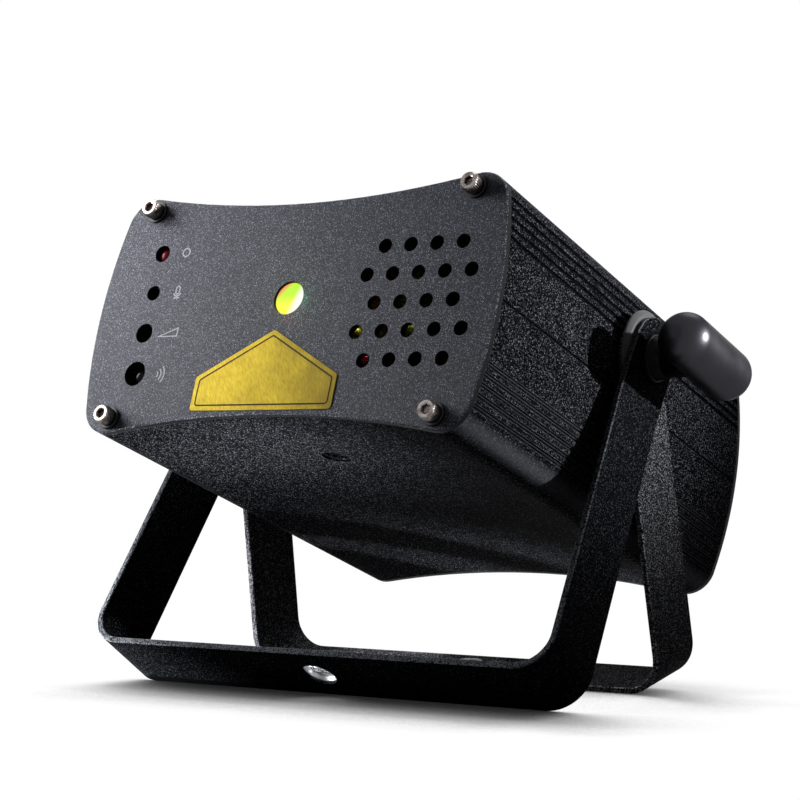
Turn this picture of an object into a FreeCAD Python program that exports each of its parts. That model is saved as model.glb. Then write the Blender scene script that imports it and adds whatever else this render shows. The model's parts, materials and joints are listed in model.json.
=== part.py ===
import FreeCAD, Part
import math
import os

# Laser show projector on two nested U brackets, in millimetres, as it stands on a floor.
# Row frame: +X to the right seen from the front, +Y to the rear, +Z up, origin under the middle of the part.
# The housing pieces are drawn level, with the front face at depth zero, and then tilted about the pivot.

Vec = FreeCAD.Vector
RIGHT = Vec(1, 0, 0)
REAR = Vec(0, 1, 0)
UP = Vec(0, 0, 1)
CENTRE = Vec(0, 0, 0)
BOTH = (-1, 1)
CORNERS = ((-1, -1), (-1, 1), (1, 1), (1, -1))

# Housing: hollow top and bottom, bulging sides
housing_depth = 154.6
half_width = 69.0
half_height = 31.9
hollow_radius = 313.0
bulge_radius = 144.0
corner_radius = 9.1
wall = 2.0
plate_thickness = 2.0
plate_chamfer = 0.35
head_chamfer = 0.4
seam_depth = 0.45
groove_count = 5
groove_pitch = 2.9
groove_first = 17.8
groove_radius = 0.7
overrun = 1.0
slide_gap = 0.1
running_gap = 0.05
touch = 0.001

# Stance
housing_tilt_degrees = 17.9
rear_lean_degrees = 11.35

# Corner fasteners
screw_inset = 1.4
screw_rise = 4.6
screw_radius = 1.5
screw_length = 12.0
head_radius = 2.75
head_height = 3.0
socket_flats = 2.5
socket_depth = 1.7
spring_washer_radius = 2.6
spring_washer_thickness = 0.8
spring_washer_gap = 0.7
flat_washer_radius = 3.3
flat_washer_thickness = 0.8
boss_radius = 3.6
boss_hole_depth = 16.0
plate_hole_gap = 0.2

# Front plate openings
vent_radius = 2.15
vent_pitch = 8.4
vent_side_inset = 26.9
vent_rows = (4, 5, 4, 5, 4)
aperture_radius = 5.0
aperture_z = 2.7
control_side_inset = 18.9
control_count = 4
control_pitch = 12.6
led_hole_radius = 2.65
mic_hole_radius = 2.35
volume_hole_radius = 3.0
infrared_hole_radius = 3.75

# Front control board and what it carries
board_thickness = 1.6
control_board_depth = 12.0
control_board_half_width = 8.0
control_board_half_height = 26.6
control_standoff_radius = 2.0
control_standoff_z = 24.4
led_radius = 2.5
led_rim_radius = 2.9
led_rim_thickness = 1.0
led_tip_depth = 0.7
led_height = 8.6
lead_radius = 0.35
lead_spacing = 2.54
mic_radius = 4.8
mic_height = 6.5
mic_front_gap = 0.3
mic_mouth_radius = 1.2
volume_body_side = 9.5
volume_body_depth = 6.0
spindle_radius = 2.4
spindle_tip_depth = 2.6
spindle_slot_width = 0.9
spindle_slot_depth = 1.4
infrared_half_width = 2.9
infrared_half_height = 3.0
infrared_body_depth = 4.5
infrared_dome_radius = 2.6
infrared_tip_depth = 1.6

# Window and its retainer
window_radius = 6.8
window_thickness = 1.5
window_sink = 0.5
window_bevel = 0.4
retainer_radius = 9.5
retainer_lip = 1.4

# Chassis plate on rails
chassis_z = -24.0
chassis_thickness = 1.6
chassis_end_gap = 4.0
rail_reach = 5.0
rail_thickness = 1.6
rail_grip = 3.5
cable_slot_length = 24.0
cable_slot_radius = 3.0

# Lasers, their clamps and the beam combiner
module_radius = 6.0
module_nose_radius = 4.4
module_nose_length = 3.0
module_groove = 0.5
module_groove_shares = (0.72, 0.84)
green_front = 69.0
green_length = 40.0
red_front_x = 13.0
red_length = 28.0
clamp_half_width = 11.0
clamp_length = 20.0
clamp_crown = 4.0
clamp_slit = 1.2
combiner_y = 54.0
combiner_side = 14.0
combiner_thickness = 1.1
combiner_sunk = 3.0
combiner_foot = 9.0

# Grating wheel, its shaft and motor
wheel_radius = 18.0
wheel_x = -12.5
wheel_y = 15.0
wheel_thickness = 2.4
wheel_rim = 2.0
wheel_hub_radius = 4.0
wheel_hub_length = 5.0
wheel_spoke_count = 3
wheel_spoke_width = 2.4
film_thickness = 0.4
motor_shaft_radius = 1.5
motor_nose_radius = 3.0
motor_half_width = 6.0
motor_half_height = 5.0
motor_length = 20.0
motor_bracket_thickness = 1.5
motor_bracket_half_width = 9.0
motor_bracket_foot = 10.0
motor_wheel_gap = 2.0

# Main board
main_board_length = 50.0
main_board_side_inset = 18.0
main_board_clamp_gap = 4.0
main_board_rear_gap = 14.6
standoff_height = 6.0
standoff_radius = 2.5
standoff_inset = 4.0
capacitor_radius = 5.0
capacitor_height = 12.0
connector_length = 12.0
connector_width = 6.0
connector_height = 7.0
connector_wall = 0.8
coil_radius = 6.0
coil_bore_radius = 3.0
coil_height = 7.0
board_part_count = 4
board_part_spacing = 12.5

# Fan
fan_side_inset = 35.0
fan_side = 40.0
fan_depth = 10.0
fan_bore_radius = 18.8
fan_corner_radius = 3.0
fan_screw_pitch = 32.0
fan_screw_radius = 1.5
fan_screw_length = 10.0
fan_screw_head = 2.8
fan_screw_head_height = 1.6
fan_plate_radius = 11.0
fan_strut_width = 3.0
fan_strut_thickness = 1.6
fan_strut_count = 3
fan_hub_radius = 11.5
fan_hub_depth = 7.0
fan_blade_count = 7
fan_blade_gap = 0.7
fan_blade_chord = 9.0
fan_blade_thickness = 0.9
fan_blade_root_angle = 48.0
fan_blade_tip_angle = 32.0
fan_pin_radius = 1.0
fan_face_gap = 0.6
grille_ring_pitch = 6.6
grille_ring_count = 3

# Rear panel controls
rear_control_inset = 27.0
switch_z = 9.0
rocker_half_width = 6.5
rocker_half_height = 9.5
rocker_wall = 1.0
rocker_bezel = 1.2
rocker_bezel_height = 2.0
rocker_depth = 15.0
rocker_play = 0.4
rocker_crown = 2.2
rocker_pivot_depth = 2.0
rocker_pin_radius = 1.0
rocker_tilt_degrees = 9.0
rocker_foot_radius = 3.2
jack_z = -14.0
jack_barrel_radius = 4.0
jack_flange_radius = 5.8
jack_flange_height = 1.8
jack_depth = 13.0
jack_bore_radius = 2.85
jack_bore_depth = 9.5
jack_pin_radius = 1.0
jack_pin_setback = 1.0
jack_nut_flats = 11.0
jack_nut_height = 2.2
mode_jack_spacing = 22.0
mode_cap_radius = 3.4
mode_cap_proud = 2.6
mode_cap_round = 0.8
mode_travel = 1.5
mode_collar_radius = 4.4
mode_collar_height = 1.2
mode_body_half = 6.0
mode_body_depth = 8.0
mode_hole_gap = 0.3

# Brackets: two U straps of one bar, the outer one round the inner one
pivot_z = 12.5
strap_width = 23.8
strap_thickness = 1.8
strap_chamfer = 0.3
strap_bend = 9.0
ear_flat = 15.0
inner_reach = 97.5
nest_gap = 11.7
inner_splay = 3.0
outer_ear_gap = 1.8
outer_splay = 4.7
base_hole_radius = 5.2
stud_radius = 3.0
ear_hole_gap = 0.3

# Pivot hardware
insert_radius = 6.0
insert_proud = 0.2
insert_flange_radius = 8.0
insert_flange_thickness = 2.5
insert_length = 12.0
pivot_washer_radius = 10.5
pivot_washer_thickness = 0.4
ear_washer_radius = 14.1
ear_washer_chamfer = 1.2
clamp_washer_radius = 6.9
clamp_washer_thickness = 1.2
knob_length = 40.0
knob_radius = 7.8
knob_end_round = 6.2
knob_reach = 15.1
knob_neck_radius = 5.6
knob_collar_radius = 6.6
knob_collar_height = 3.0
stud_sunk = 4.0

# Tripod socket under the housing
socket_y = 36.4
socket_flange_radius = 4.4
socket_flange_thickness = 0.8
socket_body_radius = 4.0
socket_bore_radius = 2.6
socket_length = 7.0

# Places that follow from the sizes
shell_front = plate_thickness
shell_rear = housing_depth - plate_thickness
pivot_y = housing_depth / 2
vent_x = half_width - vent_side_inset
control_x = control_side_inset - half_width
fan_x = half_width - fan_side_inset
fan_front = shell_rear - fan_depth
switch_x = rear_control_inset - half_width
jack_x = switch_x
mode_x = jack_x + mode_jack_spacing
mode_z = jack_z
chassis_top = chassis_z + chassis_thickness
clamp_half_height = aperture_z - chassis_top
insert_face_x = half_width + insert_proud
inner_ear_x = insert_face_x + pivot_washer_thickness
outer_ear_x = inner_ear_x + strap_thickness + outer_ear_gap
outer_reach = inner_reach + nest_gap
clamp_washer_x = outer_ear_x + strap_thickness
knob_seat_x = clamp_washer_x + clamp_washer_thickness
knob_centre_x = knob_seat_x + knob_reach
main_board_left = main_board_side_inset - half_width
main_board_right = -clamp_half_width - main_board_clamp_gap
main_board_x = (main_board_left + main_board_right) / 2
main_board_rear = shell_rear - main_board_rear_gap
main_board_y = main_board_rear - main_board_length / 2
main_board_low = chassis_top + standoff_height
main_board_top = main_board_low + board_thickness
motor_front = wheel_y + wheel_hub_length + motor_wheel_gap + motor_bracket_thickness
control_z = [control_pitch * ((control_count - 1) / 2 - k) for k in range(control_count)]
LED_Z, MIC_Z, VOLUME_Z, INFRARED_Z = control_z


# Simple solids
def rod(radius, start, along, length):
    return Part.makeCylinder(radius, length, start, along)


def slab(low, high):
    return Part.makeBox(high.x - low.x, high.y - low.y, high.z - low.z, low)


def block_about(x, z, half_x, half_z, front, rear):
    """Upright block round the axis at x, z, from one depth to another."""
    return slab(Vec(x - half_x, front, z - half_z), Vec(x + half_x, rear, z + half_z))


def ring(outer, inner, start, along, length):
    return rod(outer, start, along, length).cut(rod(inner, start, along, length))


def hexagon(flats, start, along, length):
    """Hexagonal bar with the given width across flats."""
    reach = flats / math.sqrt(3)
    turns = [math.radians(60 * k) for k in range(6)]
    points = [Vec(reach * math.cos(turn), reach * math.sin(turn), 0) for turn in turns]
    bar = Part.Face(Part.makePolygon(points + points[:1])).extrude(UP * length)
    bar.Placement = FreeCAD.Placement(start, FreeCAD.Rotation(UP, along))
    return bar


def turned(profile, start, along):
    """Solid of revolution from radius and height pairs, standing on start."""
    points = [Vec(radius, 0, height) for radius, height in profile]
    solid = Part.Face(Part.makePolygon(points + points[:1])).revolve(CENTRE, UP, 360)
    solid.Placement = FreeCAD.Placement(start, FreeCAD.Rotation(UP, along))
    return solid


def fused(pieces):
    return pieces[0].multiFuse(pieces[1:]).removeSplitter()


def drilled(solid, cuts):
    return solid.cut(Part.Compound(cuts))


def edges_at_depth(solid, depth):
    """Edges that lie in the plane at a depth."""
    boxes = [(edge, edge.BoundBox) for edge in solid.Edges]
    return [edge for edge, box in boxes if max(abs(box.YMin - depth), abs(box.YMax - depth)) < touch]


# Housing outline
def meeting_point(first, first_radius, second, second_radius):
    """Point to the right, at the given distances from two centres in the front plane."""
    span = second - first
    distance = span.Length
    along = (first_radius ** 2 - second_radius ** 2 + distance ** 2) / (2 * distance)
    across = math.sqrt(first_radius ** 2 - along ** 2)
    normal = Vec(-span.z, 0, span.x) / distance
    base = first + span * (along / distance)
    return max((base + normal * across, base - normal * across), key=lambda p: p.x)


hollow_centre = Vec(0, 0, half_height + hollow_radius)
bulge_centre = Vec(half_width - bulge_radius, 0, 0)
corner_centre = meeting_point(hollow_centre, hollow_radius + corner_radius,
                              bulge_centre, bulge_radius - corner_radius)
screw_x = corner_centre.x - screw_inset
screw_z = corner_centre.z + screw_rise


def outline(inset, depth):
    """Closed housing outline at a depth, moved inwards by inset."""
    to_top = (hollow_centre - corner_centre).normalize()
    to_side = (corner_centre - bulge_centre).normalize()
    to_mid = (to_top + to_side).normalize()
    radius = corner_radius - inset
    top, side, mid = (corner_centre + way * radius for way in (to_top, to_side, to_mid))
    top_middle = Vec(0, 0, half_height - inset)
    side_middle = Vec(half_width - inset, 0, 0)

    def arc(*points):
        placed = [Vec(sx * p.x, depth, sz * p.z) for p, sx, sz in points]
        return Part.Arc(*placed).toShape()

    edges = [arc((top, sx, sz), (mid, sx, sz), (side, sx, sz)) for sx, sz in CORNERS]
    for sign in BOTH:
        edges.append(arc((top, -1, sign), (top_middle, 1, sign), (top, 1, sign)))
        edges.append(arc((side, sign, 1), (side_middle, sign, 1), (side, sign, -1)))
    return Part.Wire(Part.__sortEdges__(edges))


def prism(inset, front, rear):
    return Part.Face(outline(inset, front)).extrude(REAR * (rear - front))


def side_x(z):
    """Half width of the housing at a height."""
    return bulge_centre.x + math.sqrt(bulge_radius ** 2 - z ** 2)


# Housing shells
def half_shell(sign):
    """One half of the extruded housing: skin, screw channels and chassis rails, cut at mid-height."""
    solid_core = prism(0, shell_front, shell_rear)
    skin = solid_core.cut(prism(wall, shell_front - overrun, shell_rear + overrun))
    length = shell_rear - shell_front
    added = []
    for side in BOTH:
        added.append(rod(boss_radius, Vec(side * screw_x, shell_front, sign * screw_z), REAR, length))
        for rail_z in (chassis_z - slide_gap - rail_thickness, chassis_top + slide_gap):
            low = min(-sign * rail_z, -sign * (rail_z + rail_thickness))
            inner = side_x(chassis_z) - wall - rail_reach
            left, right = sorted((side * inner, side * half_width))
            added.append(slab(Vec(left, shell_front, low), Vec(right, shell_rear, low + rail_thickness)))
    shell = skin.fuse([piece.common(solid_core) for piece in added])
    low = min(0, sign * half_width)
    shell = shell.common(slab(Vec(-half_width, 0, low), Vec(half_width, housing_depth, low + half_width)))
    cuts = []
    for side in BOTH:
        for start, along in ((shell_front, REAR), (shell_rear, -REAR)):
            mouth = Vec(side * screw_x, start, sign * screw_z) - along * overrun
            cuts.append(rod(screw_radius + running_gap, mouth, along, boss_hole_depth + overrun))
        for step in range(groove_count):
            z = groove_first + step * groove_pitch
            cuts.append(rod(groove_radius, Vec(side * side_x(z), 0, sign * z), REAR, housing_depth))
        seam = [Vec(side * half_width + dx * seam_depth, 0, dz * seam_depth)
                for dx, dz in ((-1, 0), (0, 1), (1, 0), (0, -1), (-1, 0))]
        cuts.append(Part.Face(Part.makePolygon(seam)).extrude(REAR * housing_depth))
    return drilled(shell, cuts).removeSplitter()


def upper_shell():
    start = Vec(-half_width - overrun, pivot_y, pivot_z)
    return half_shell(1).cut(rod(insert_radius + running_gap, start, RIGHT, 2 * (half_width + overrun)))


def lower_shell():
    start = Vec(0, socket_y, -half_height - overrun)
    bore = rod(socket_body_radius + running_gap, start, UP, wall + 2 * overrun)
    seat = rod(socket_flange_radius + running_gap, start, UP, overrun + socket_flange_thickness)
    return half_shell(-1).cut(bore.fuse(seat))


# End plates
def screw_points():
    return [(sx * screw_x, sz * screw_z) for sx, sz in CORNERS]


def vent_points():
    points = []
    for row, count in enumerate(vent_rows):
        z = vent_pitch * ((len(vent_rows) - 1) / 2 - row)
        points += [(vent_x + vent_pitch * (k - (count - 1) / 2), z) for k in range(count)]
    return points


def end_plate(front, face, holes):
    """Housing end plate with its outer edge broken and round holes cut through."""
    plate = prism(0, front, front + plate_thickness)
    plate = plate.makeChamfer(plate_chamfer, edges_at_depth(plate, face))
    start = front - overrun
    length = plate_thickness + 2 * overrun
    return drilled(plate, [rod(radius, Vec(x, start, z), REAR, length) for x, z, radius in holes])


def front_plate():
    holes = [(x, z, screw_radius + plate_hole_gap) for x, z in screw_points()]
    holes += [(x, z, vent_radius) for x, z in vent_points()]
    holes.append((0, aperture_z, aperture_radius))
    radii = (led_hole_radius, mic_hole_radius, volume_hole_radius, infrared_hole_radius)
    holes += [(control_x, z, radius) for z, radius in zip(control_z, radii)]
    return end_plate(0, 0, holes)


def grille_points():
    points = [(fan_x, 0)]
    for ring_step in range(1, grille_ring_count):
        count = 6 * ring_step
        for k in range(count):
            turn = 2 * math.pi * k / count
            radius = ring_step * grille_ring_pitch
            points.append((fan_x + radius * math.cos(turn), radius * math.sin(turn)))
    return points


def fan_screw_points():
    return [(fan_x + sx * fan_screw_pitch / 2, sz * fan_screw_pitch / 2) for sx, sz in CORNERS]


def rear_plate():
    holes = [(x, z, screw_radius + plate_hole_gap) for x, z in screw_points()]
    holes += [(x, z, vent_radius) for x, z in grille_points()]
    holes += [(x, z, fan_screw_radius + plate_hole_gap) for x, z in fan_screw_points()]
    holes.append((jack_x, jack_z, jack_barrel_radius + slide_gap))
    holes.append((mode_x, mode_z, mode_cap_radius + mode_hole_gap))
    plate = end_plate(shell_rear, housing_depth, holes)
    half_x = rocker_half_width + slide_gap
    half_z = rocker_half_height + slide_gap
    rear = housing_depth + overrun
    return plate.cut(block_about(switch_x, switch_z, half_x, half_z, shell_rear - overrun, rear))


# Corner fasteners, drawn for a face at depth zero and turned round for the rear
def cap_screw():
    stack = flat_washer_thickness + spring_washer_thickness
    head = rod(head_radius, Vec(0, -stack, 0), -REAR, head_height)
    head = head.makeChamfer(head_chamfer, edges_at_depth(head, -stack - head_height))
    shank = rod(screw_radius, Vec(0, -stack, 0), REAR, screw_length + stack)
    socket = hexagon(socket_flats, Vec(0, -stack - head_height, 0), REAR, socket_depth)
    return head.fuse(shank).cut(socket).removeSplitter()


def spring_washer():
    start = Vec(0, -flat_washer_thickness, 0)
    washer = ring(spring_washer_radius, screw_radius + slide_gap, start, -REAR, spring_washer_thickness)
    top = start - REAR * spring_washer_thickness
    split = RIGHT * spring_washer_gap
    slit = Part.makePolygon([top - split, top, start + split, start, top - split])
    return washer.cut(Part.Face(slit).extrude(UP * spring_washer_radius))


def flat_washer():
    return ring(flat_washer_radius, screw_radius + plate_hole_gap, CENTRE, -REAR, flat_washer_thickness)


def at_corners(make_piece, rear):
    """Copies of a fastener at the four corners of the front or rear face."""
    face = housing_depth if rear else 0
    pieces = []
    for x, z in screw_points():
        piece = make_piece()
        if rear:
            piece.rotate(CENTRE, UP, 180)
        piece.translate(Vec(x, face, z))
        pieces.append(piece)
    return Part.Compound(pieces)


# Front control board
def leads(x, z, front):
    rear = control_board_depth - front
    return [rod(lead_radius, Vec(x + side * lead_spacing / 2, front, z), REAR, rear) for side in BOTH]


def status_led():
    base = led_tip_depth + led_height
    dome_centre = Vec(control_x, led_tip_depth + led_radius, LED_Z)
    dome = Part.makeSphere(led_radius, dome_centre)
    body = rod(led_radius, dome_centre, REAR, led_height - led_radius)
    rim = rod(led_rim_radius, Vec(control_x, base, LED_Z), -REAR, led_rim_thickness)
    return fused([dome, body, rim] + leads(control_x, LED_Z, base))


def mic_capsule():
    front = plate_thickness + mic_front_gap
    can = rod(mic_radius, Vec(control_x, front, MIC_Z), REAR, mic_height)
    mouth = rod(mic_mouth_radius, Vec(control_x, front, MIC_Z), REAR, mic_front_gap)
    return fused([can.cut(mouth)] + leads(control_x, MIC_Z, front + mic_height))


def volume_pot():
    front = control_board_depth - volume_body_depth
    half = volume_body_side / 2
    body = block_about(control_x, VOLUME_Z, half, half, front, control_board_depth)
    start = Vec(control_x, front, VOLUME_Z)
    return body.cut(rod(spindle_radius + running_gap, start, REAR, volume_body_depth / 2))


def volume_spindle():
    tip = Vec(control_x, spindle_tip_depth, VOLUME_Z)
    seat = control_board_depth - volume_body_depth / 2 - running_gap
    slot = block_about(control_x, VOLUME_Z, spindle_radius, spindle_slot_width / 2,
                       spindle_tip_depth, spindle_tip_depth + spindle_slot_depth)
    return rod(spindle_radius, tip, REAR, seat - spindle_tip_depth).cut(slot)


def infrared_receiver():
    front = control_board_depth - infrared_body_depth
    body = block_about(control_x, INFRARED_Z, infrared_half_width, infrared_half_height,
                       front, control_board_depth)
    dome_centre = Vec(control_x, infrared_tip_depth + infrared_dome_radius, INFRARED_Z)
    nose = rod(infrared_dome_radius, dome_centre, REAR, front - dome_centre.y)
    return fused([Part.makeSphere(infrared_dome_radius, dome_centre), nose, body])


def control_board():
    return block_about(control_x, 0, control_board_half_width, control_board_half_height,
                       control_board_depth, control_board_depth + board_thickness)


def control_standoffs():
    length = control_board_depth - plate_thickness
    spots = [Vec(control_x, plate_thickness, sign * control_standoff_z) for sign in BOTH]
    return Part.Compound([rod(control_standoff_radius, spot, REAR, length) for spot in spots])


# Window
def aperture_window():
    """Stepped window: a flange behind the plate and a boss that fills the aperture."""
    boss = aperture_radius - slide_gap
    step = plate_thickness - window_sink
    back = step + window_thickness
    profile = [(0, 0), (boss - window_bevel, 0), (boss, window_bevel), (boss, step),
               (window_radius, step), (window_radius, back), (0, back)]
    return turned(profile, Vec(0, window_sink, aperture_z), REAR)


def window_retainer():
    inner = window_radius + slide_gap
    lip = window_radius - retainer_lip
    top = window_thickness + retainer_lip
    profile = [(inner, 0), (retainer_radius, 0), (retainer_radius, top), (lip, top),
               (lip, window_thickness), (inner, window_thickness)]
    return turned(profile, Vec(0, plate_thickness, aperture_z), REAR)


# Chassis plate and optics
def chassis_plate():
    half = side_x(chassis_z) - wall - rail_reach + rail_grip
    front = control_board_depth + board_thickness + chassis_end_gap
    rear = shell_rear - fan_depth - chassis_end_gap
    plate = slab(Vec(-half, front, chassis_z), Vec(half, rear, chassis_top))
    slots = []
    for side in BOTH:
        middle = Vec(side * half / 2, pivot_y, chassis_z)
        reach = Vec(cable_slot_radius, cable_slot_length / 2, 0)
        slots.append(slab(middle - reach, middle + reach + UP * chassis_thickness))
        for end in BOTH:
            slots.append(rod(cable_slot_radius, middle + REAR * (end * reach.y), UP, chassis_thickness))
    return drilled(plate, slots)


def module_profile(length):
    """Radius and height pairs of a laser module with its nose at the bottom and grooves round its body."""
    base = module_nose_length
    waist = module_radius - module_groove
    profile = [(0, 0), (module_nose_radius, 0), (module_nose_radius, base), (module_radius, base)]
    for share in module_groove_shares:
        z = base + share * (length - base)
        end = z + 2 * module_groove
        profile += [(module_radius, z), (waist, z), (waist, end), (module_radius, end)]
    return profile + [(module_radius, length), (0, length)]


def green_laser_module():
    return turned(module_profile(green_length), Vec(0, green_front, aperture_z), REAR)


def red_laser_module():
    return turned(module_profile(red_length), Vec(red_front_x, combiner_y, aperture_z), RIGHT)


def laser_clamp():
    """Split clamp block along +Y, with its bore on the line through the origin."""
    block = block_about(0, 0, clamp_half_width, clamp_half_height, 0, clamp_length)
    crown = module_radius + clamp_crown
    spare = slab(Vec(-clamp_half_width, 0, crown), Vec(clamp_half_width, clamp_length, clamp_half_height))
    bore = rod(module_radius + running_gap, CENTRE, REAR, clamp_length)
    slit = slab(Vec(-clamp_slit / 2, 0, 0), Vec(clamp_slit / 2, clamp_length, crown))
    return drilled(block, [spare, bore.fuse(slit)])


def green_laser_clamp():
    clamp = laser_clamp()
    clamp.translate(Vec(0, green_front + module_nose_length, aperture_z))
    return clamp


def red_laser_clamp():
    clamp = laser_clamp()
    clamp.rotate(CENTRE, UP, -90)
    clamp.translate(Vec(red_front_x + module_nose_length, combiner_y, aperture_z))
    return clamp


def combiner_mirror(grow=0):
    """Square plate at 45 degrees to both beams."""
    half = combiner_side / 2 + grow
    thin = combiner_thickness / 2 + grow
    plate = slab(Vec(-half, -thin, -half), Vec(half, thin, half))
    plate.rotate(CENTRE, UP, 45)
    plate.translate(Vec(0, combiner_y, aperture_z))
    return plate


def combiner_holder():
    top = aperture_z - combiner_side / 2 + combiner_sunk
    foot = slab(Vec(-combiner_foot, combiner_y - combiner_foot, chassis_top),
                Vec(combiner_foot, combiner_y + combiner_foot, top))
    return foot.cut(combiner_mirror(running_gap))


# Grating wheel and motor
def wheel_centre(depth):
    return Vec(wheel_x, depth, aperture_z)


def grating_wheel():
    rim = ring(wheel_radius, wheel_radius - wheel_rim, wheel_centre(wheel_y), REAR, wheel_thickness)
    hub = rod(wheel_hub_radius, wheel_centre(wheel_y), REAR, wheel_hub_length)
    pieces = [rim, hub]
    for k in range(wheel_spoke_count):
        spoke = slab(Vec(0, wheel_y, -wheel_spoke_width / 2),
                     Vec(wheel_radius - wheel_rim / 2, wheel_y + wheel_thickness, wheel_spoke_width / 2))
        spoke.rotate(CENTRE, REAR, 360 * k / wheel_spoke_count)
        spoke.translate(wheel_centre(0))
        pieces.append(spoke)
    bore = rod(motor_shaft_radius, wheel_centre(wheel_y - overrun), REAR, wheel_hub_length + 2 * overrun)
    return fused(pieces).cut(bore)


def grating_film():
    return ring(wheel_radius, wheel_hub_radius, wheel_centre(wheel_y), -REAR, film_thickness)


def motor_shaft():
    return rod(motor_shaft_radius, wheel_centre(wheel_y), REAR, motor_front + motor_length / 2 - wheel_y)


def grating_motor():
    rear = motor_front + motor_length
    body = block_about(wheel_x, aperture_z, motor_half_width, motor_half_height, motor_front, rear)
    depth = motor_length / 2 + running_gap
    return body.cut(rod(motor_shaft_radius + running_gap, wheel_centre(motor_front), REAR, depth))


def motor_bracket():
    front = motor_front - motor_bracket_thickness
    right = wheel_x + motor_bracket_half_width
    corner = Vec(wheel_x - motor_bracket_half_width, front, chassis_top)
    upright = slab(corner, Vec(right, motor_front, aperture_z + motor_half_height))
    foot = slab(corner, Vec(right, front + motor_bracket_foot, chassis_top + motor_bracket_thickness))
    hole = rod(motor_nose_radius, wheel_centre(front), REAR, motor_bracket_thickness)
    return upright.fuse(foot).removeSplitter().cut(hole)


# Main board
def main_board():
    return slab(Vec(main_board_left, main_board_rear - main_board_length, main_board_low),
                Vec(main_board_right, main_board_rear, main_board_top))


def board_standoffs():
    reach_x = (main_board_right - main_board_left) / 2 - standoff_inset
    reach_y = main_board_length / 2 - standoff_inset
    middle = Vec(main_board_x, main_board_y, chassis_top)
    spots = [middle + Vec(sx * reach_x, sy * reach_y, 0) for sx, sy in CORNERS]
    return Part.Compound([rod(standoff_radius, spot, UP, standoff_height) for spot in spots])


def board_parts():
    """Capacitors, coil and connector in a row along the board."""
    start = main_board_y - board_part_spacing * (board_part_count - 1) / 2
    places = [start + board_part_spacing * k for k in range(board_part_count)]
    spots = [Vec(main_board_x, y, main_board_top) for y in places]
    capacitors = [rod(capacitor_radius, spot, UP, capacitor_height) for spot in spots[:2]]
    coil = ring(coil_radius, coil_bore_radius, spots[2], UP, coil_height)
    half = Vec(connector_length / 2, connector_width / 2, 0)
    middle = spots[3]
    connector = slab(middle - half, middle + half + UP * connector_height)
    room = half - Vec(connector_wall, connector_wall, 0)
    pocket = slab(middle - room + UP * connector_wall, middle + room + UP * connector_height)
    return Part.Compound(capacitors + [coil, connector.cut(pocket)])


# Fan behind the rear plate
fan_axis = RIGHT * fan_x


def fan_frame():
    half = fan_side / 2
    frame = block_about(fan_x, 0, half, half, fan_front, shell_rear)
    uprights = [edge for edge in frame.Edges if edge.BoundBox.YLength > fan_depth / 2]
    frame = frame.makeFillet(fan_corner_radius, uprights)
    frame = frame.cut(rod(fan_bore_radius, fan_axis + REAR * fan_front, REAR, fan_depth))
    back = fan_front + fan_strut_thickness
    half_strut = fan_strut_width / 2
    pieces = [frame, rod(fan_plate_radius, fan_axis + REAR * fan_front, REAR, fan_strut_thickness)]
    for k in range(fan_strut_count):
        strut = slab(Vec(0, fan_front, -half_strut), Vec(fan_bore_radius + overrun, back, half_strut))
        strut.rotate(CENTRE, REAR, 360 * k / fan_strut_count)
        strut.translate(fan_axis)
        pieces.append(strut)
    screw_bore = fan_screw_radius + running_gap
    holes = [rod(screw_bore, Vec(x, fan_front, z), REAR, fan_depth) for x, z in fan_screw_points()]
    holes.append(rod(fan_pin_radius + running_gap, fan_axis + REAR * fan_front, REAR, fan_strut_thickness))
    return drilled(fused(pieces), holes)


def fan_blade():
    """Twisted blade from the hub out along +X, about the line of the fan's axis."""
    sections = []
    half = fan_blade_chord / 2
    thin = fan_blade_thickness / 2
    for radius, angle in ((fan_hub_radius - fan_blade_gap, fan_blade_root_angle),
                          (fan_bore_radius - fan_blade_gap, fan_blade_tip_angle)):
        corners = [Vec(radius, sy * thin, sz * half) for sy, sz in CORNERS]
        section = Part.makePolygon(corners + corners[:1])
        section.rotate(Vec(radius, 0, 0), RIGHT, angle)
        sections.append(section)
    return Part.makeLoft(sections, True, True)


def fan_rotor():
    hub_front = fan_front + fan_strut_thickness + fan_face_gap
    middle = hub_front + fan_hub_depth / 2
    pieces = [rod(fan_hub_radius, fan_axis + REAR * hub_front, REAR, fan_hub_depth)]
    pin_front = fan_front + running_gap
    pieces.append(rod(fan_pin_radius, fan_axis + REAR * pin_front, REAR, hub_front - fan_front))
    for k in range(fan_blade_count):
        blade = fan_blade()
        blade.rotate(CENTRE, REAR, 360 * k / fan_blade_count)
        blade.translate(fan_axis + REAR * middle)
        pieces.append(blade)
    return fused(pieces)


def fan_screws():
    pieces = []
    for x, z in fan_screw_points():
        start = Vec(x, housing_depth, z)
        shank = rod(fan_screw_radius, start, -REAR, fan_screw_length)
        pieces.append(rod(fan_screw_head, start, REAR, fan_screw_head_height).fuse(shank).removeSplitter())
    return Part.Compound(pieces)


# Rear panel controls
def rocker_housing():
    front = housing_depth - rocker_depth
    half_x, half_z = rocker_half_width, rocker_half_height
    body = block_about(switch_x, switch_z, half_x, half_z, front, housing_depth)
    bezel = block_about(switch_x, switch_z, half_x + rocker_bezel, half_z + rocker_bezel,
                        housing_depth, housing_depth + rocker_bezel_height)
    pocket = block_about(switch_x, switch_z, half_x - rocker_wall, half_z - rocker_wall,
                         front + rocker_wall, housing_depth + rocker_bezel_height)
    pin_start = Vec(switch_x - half_x + rocker_wall / 4, housing_depth - rocker_pivot_depth, switch_z)
    pin_bore = rod(rocker_pin_radius + running_gap, pin_start, RIGHT, 2 * half_x - rocker_wall / 2)
    return body.fuse(bezel).removeSplitter().cut(pocket.fuse(pin_bore))


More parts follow.
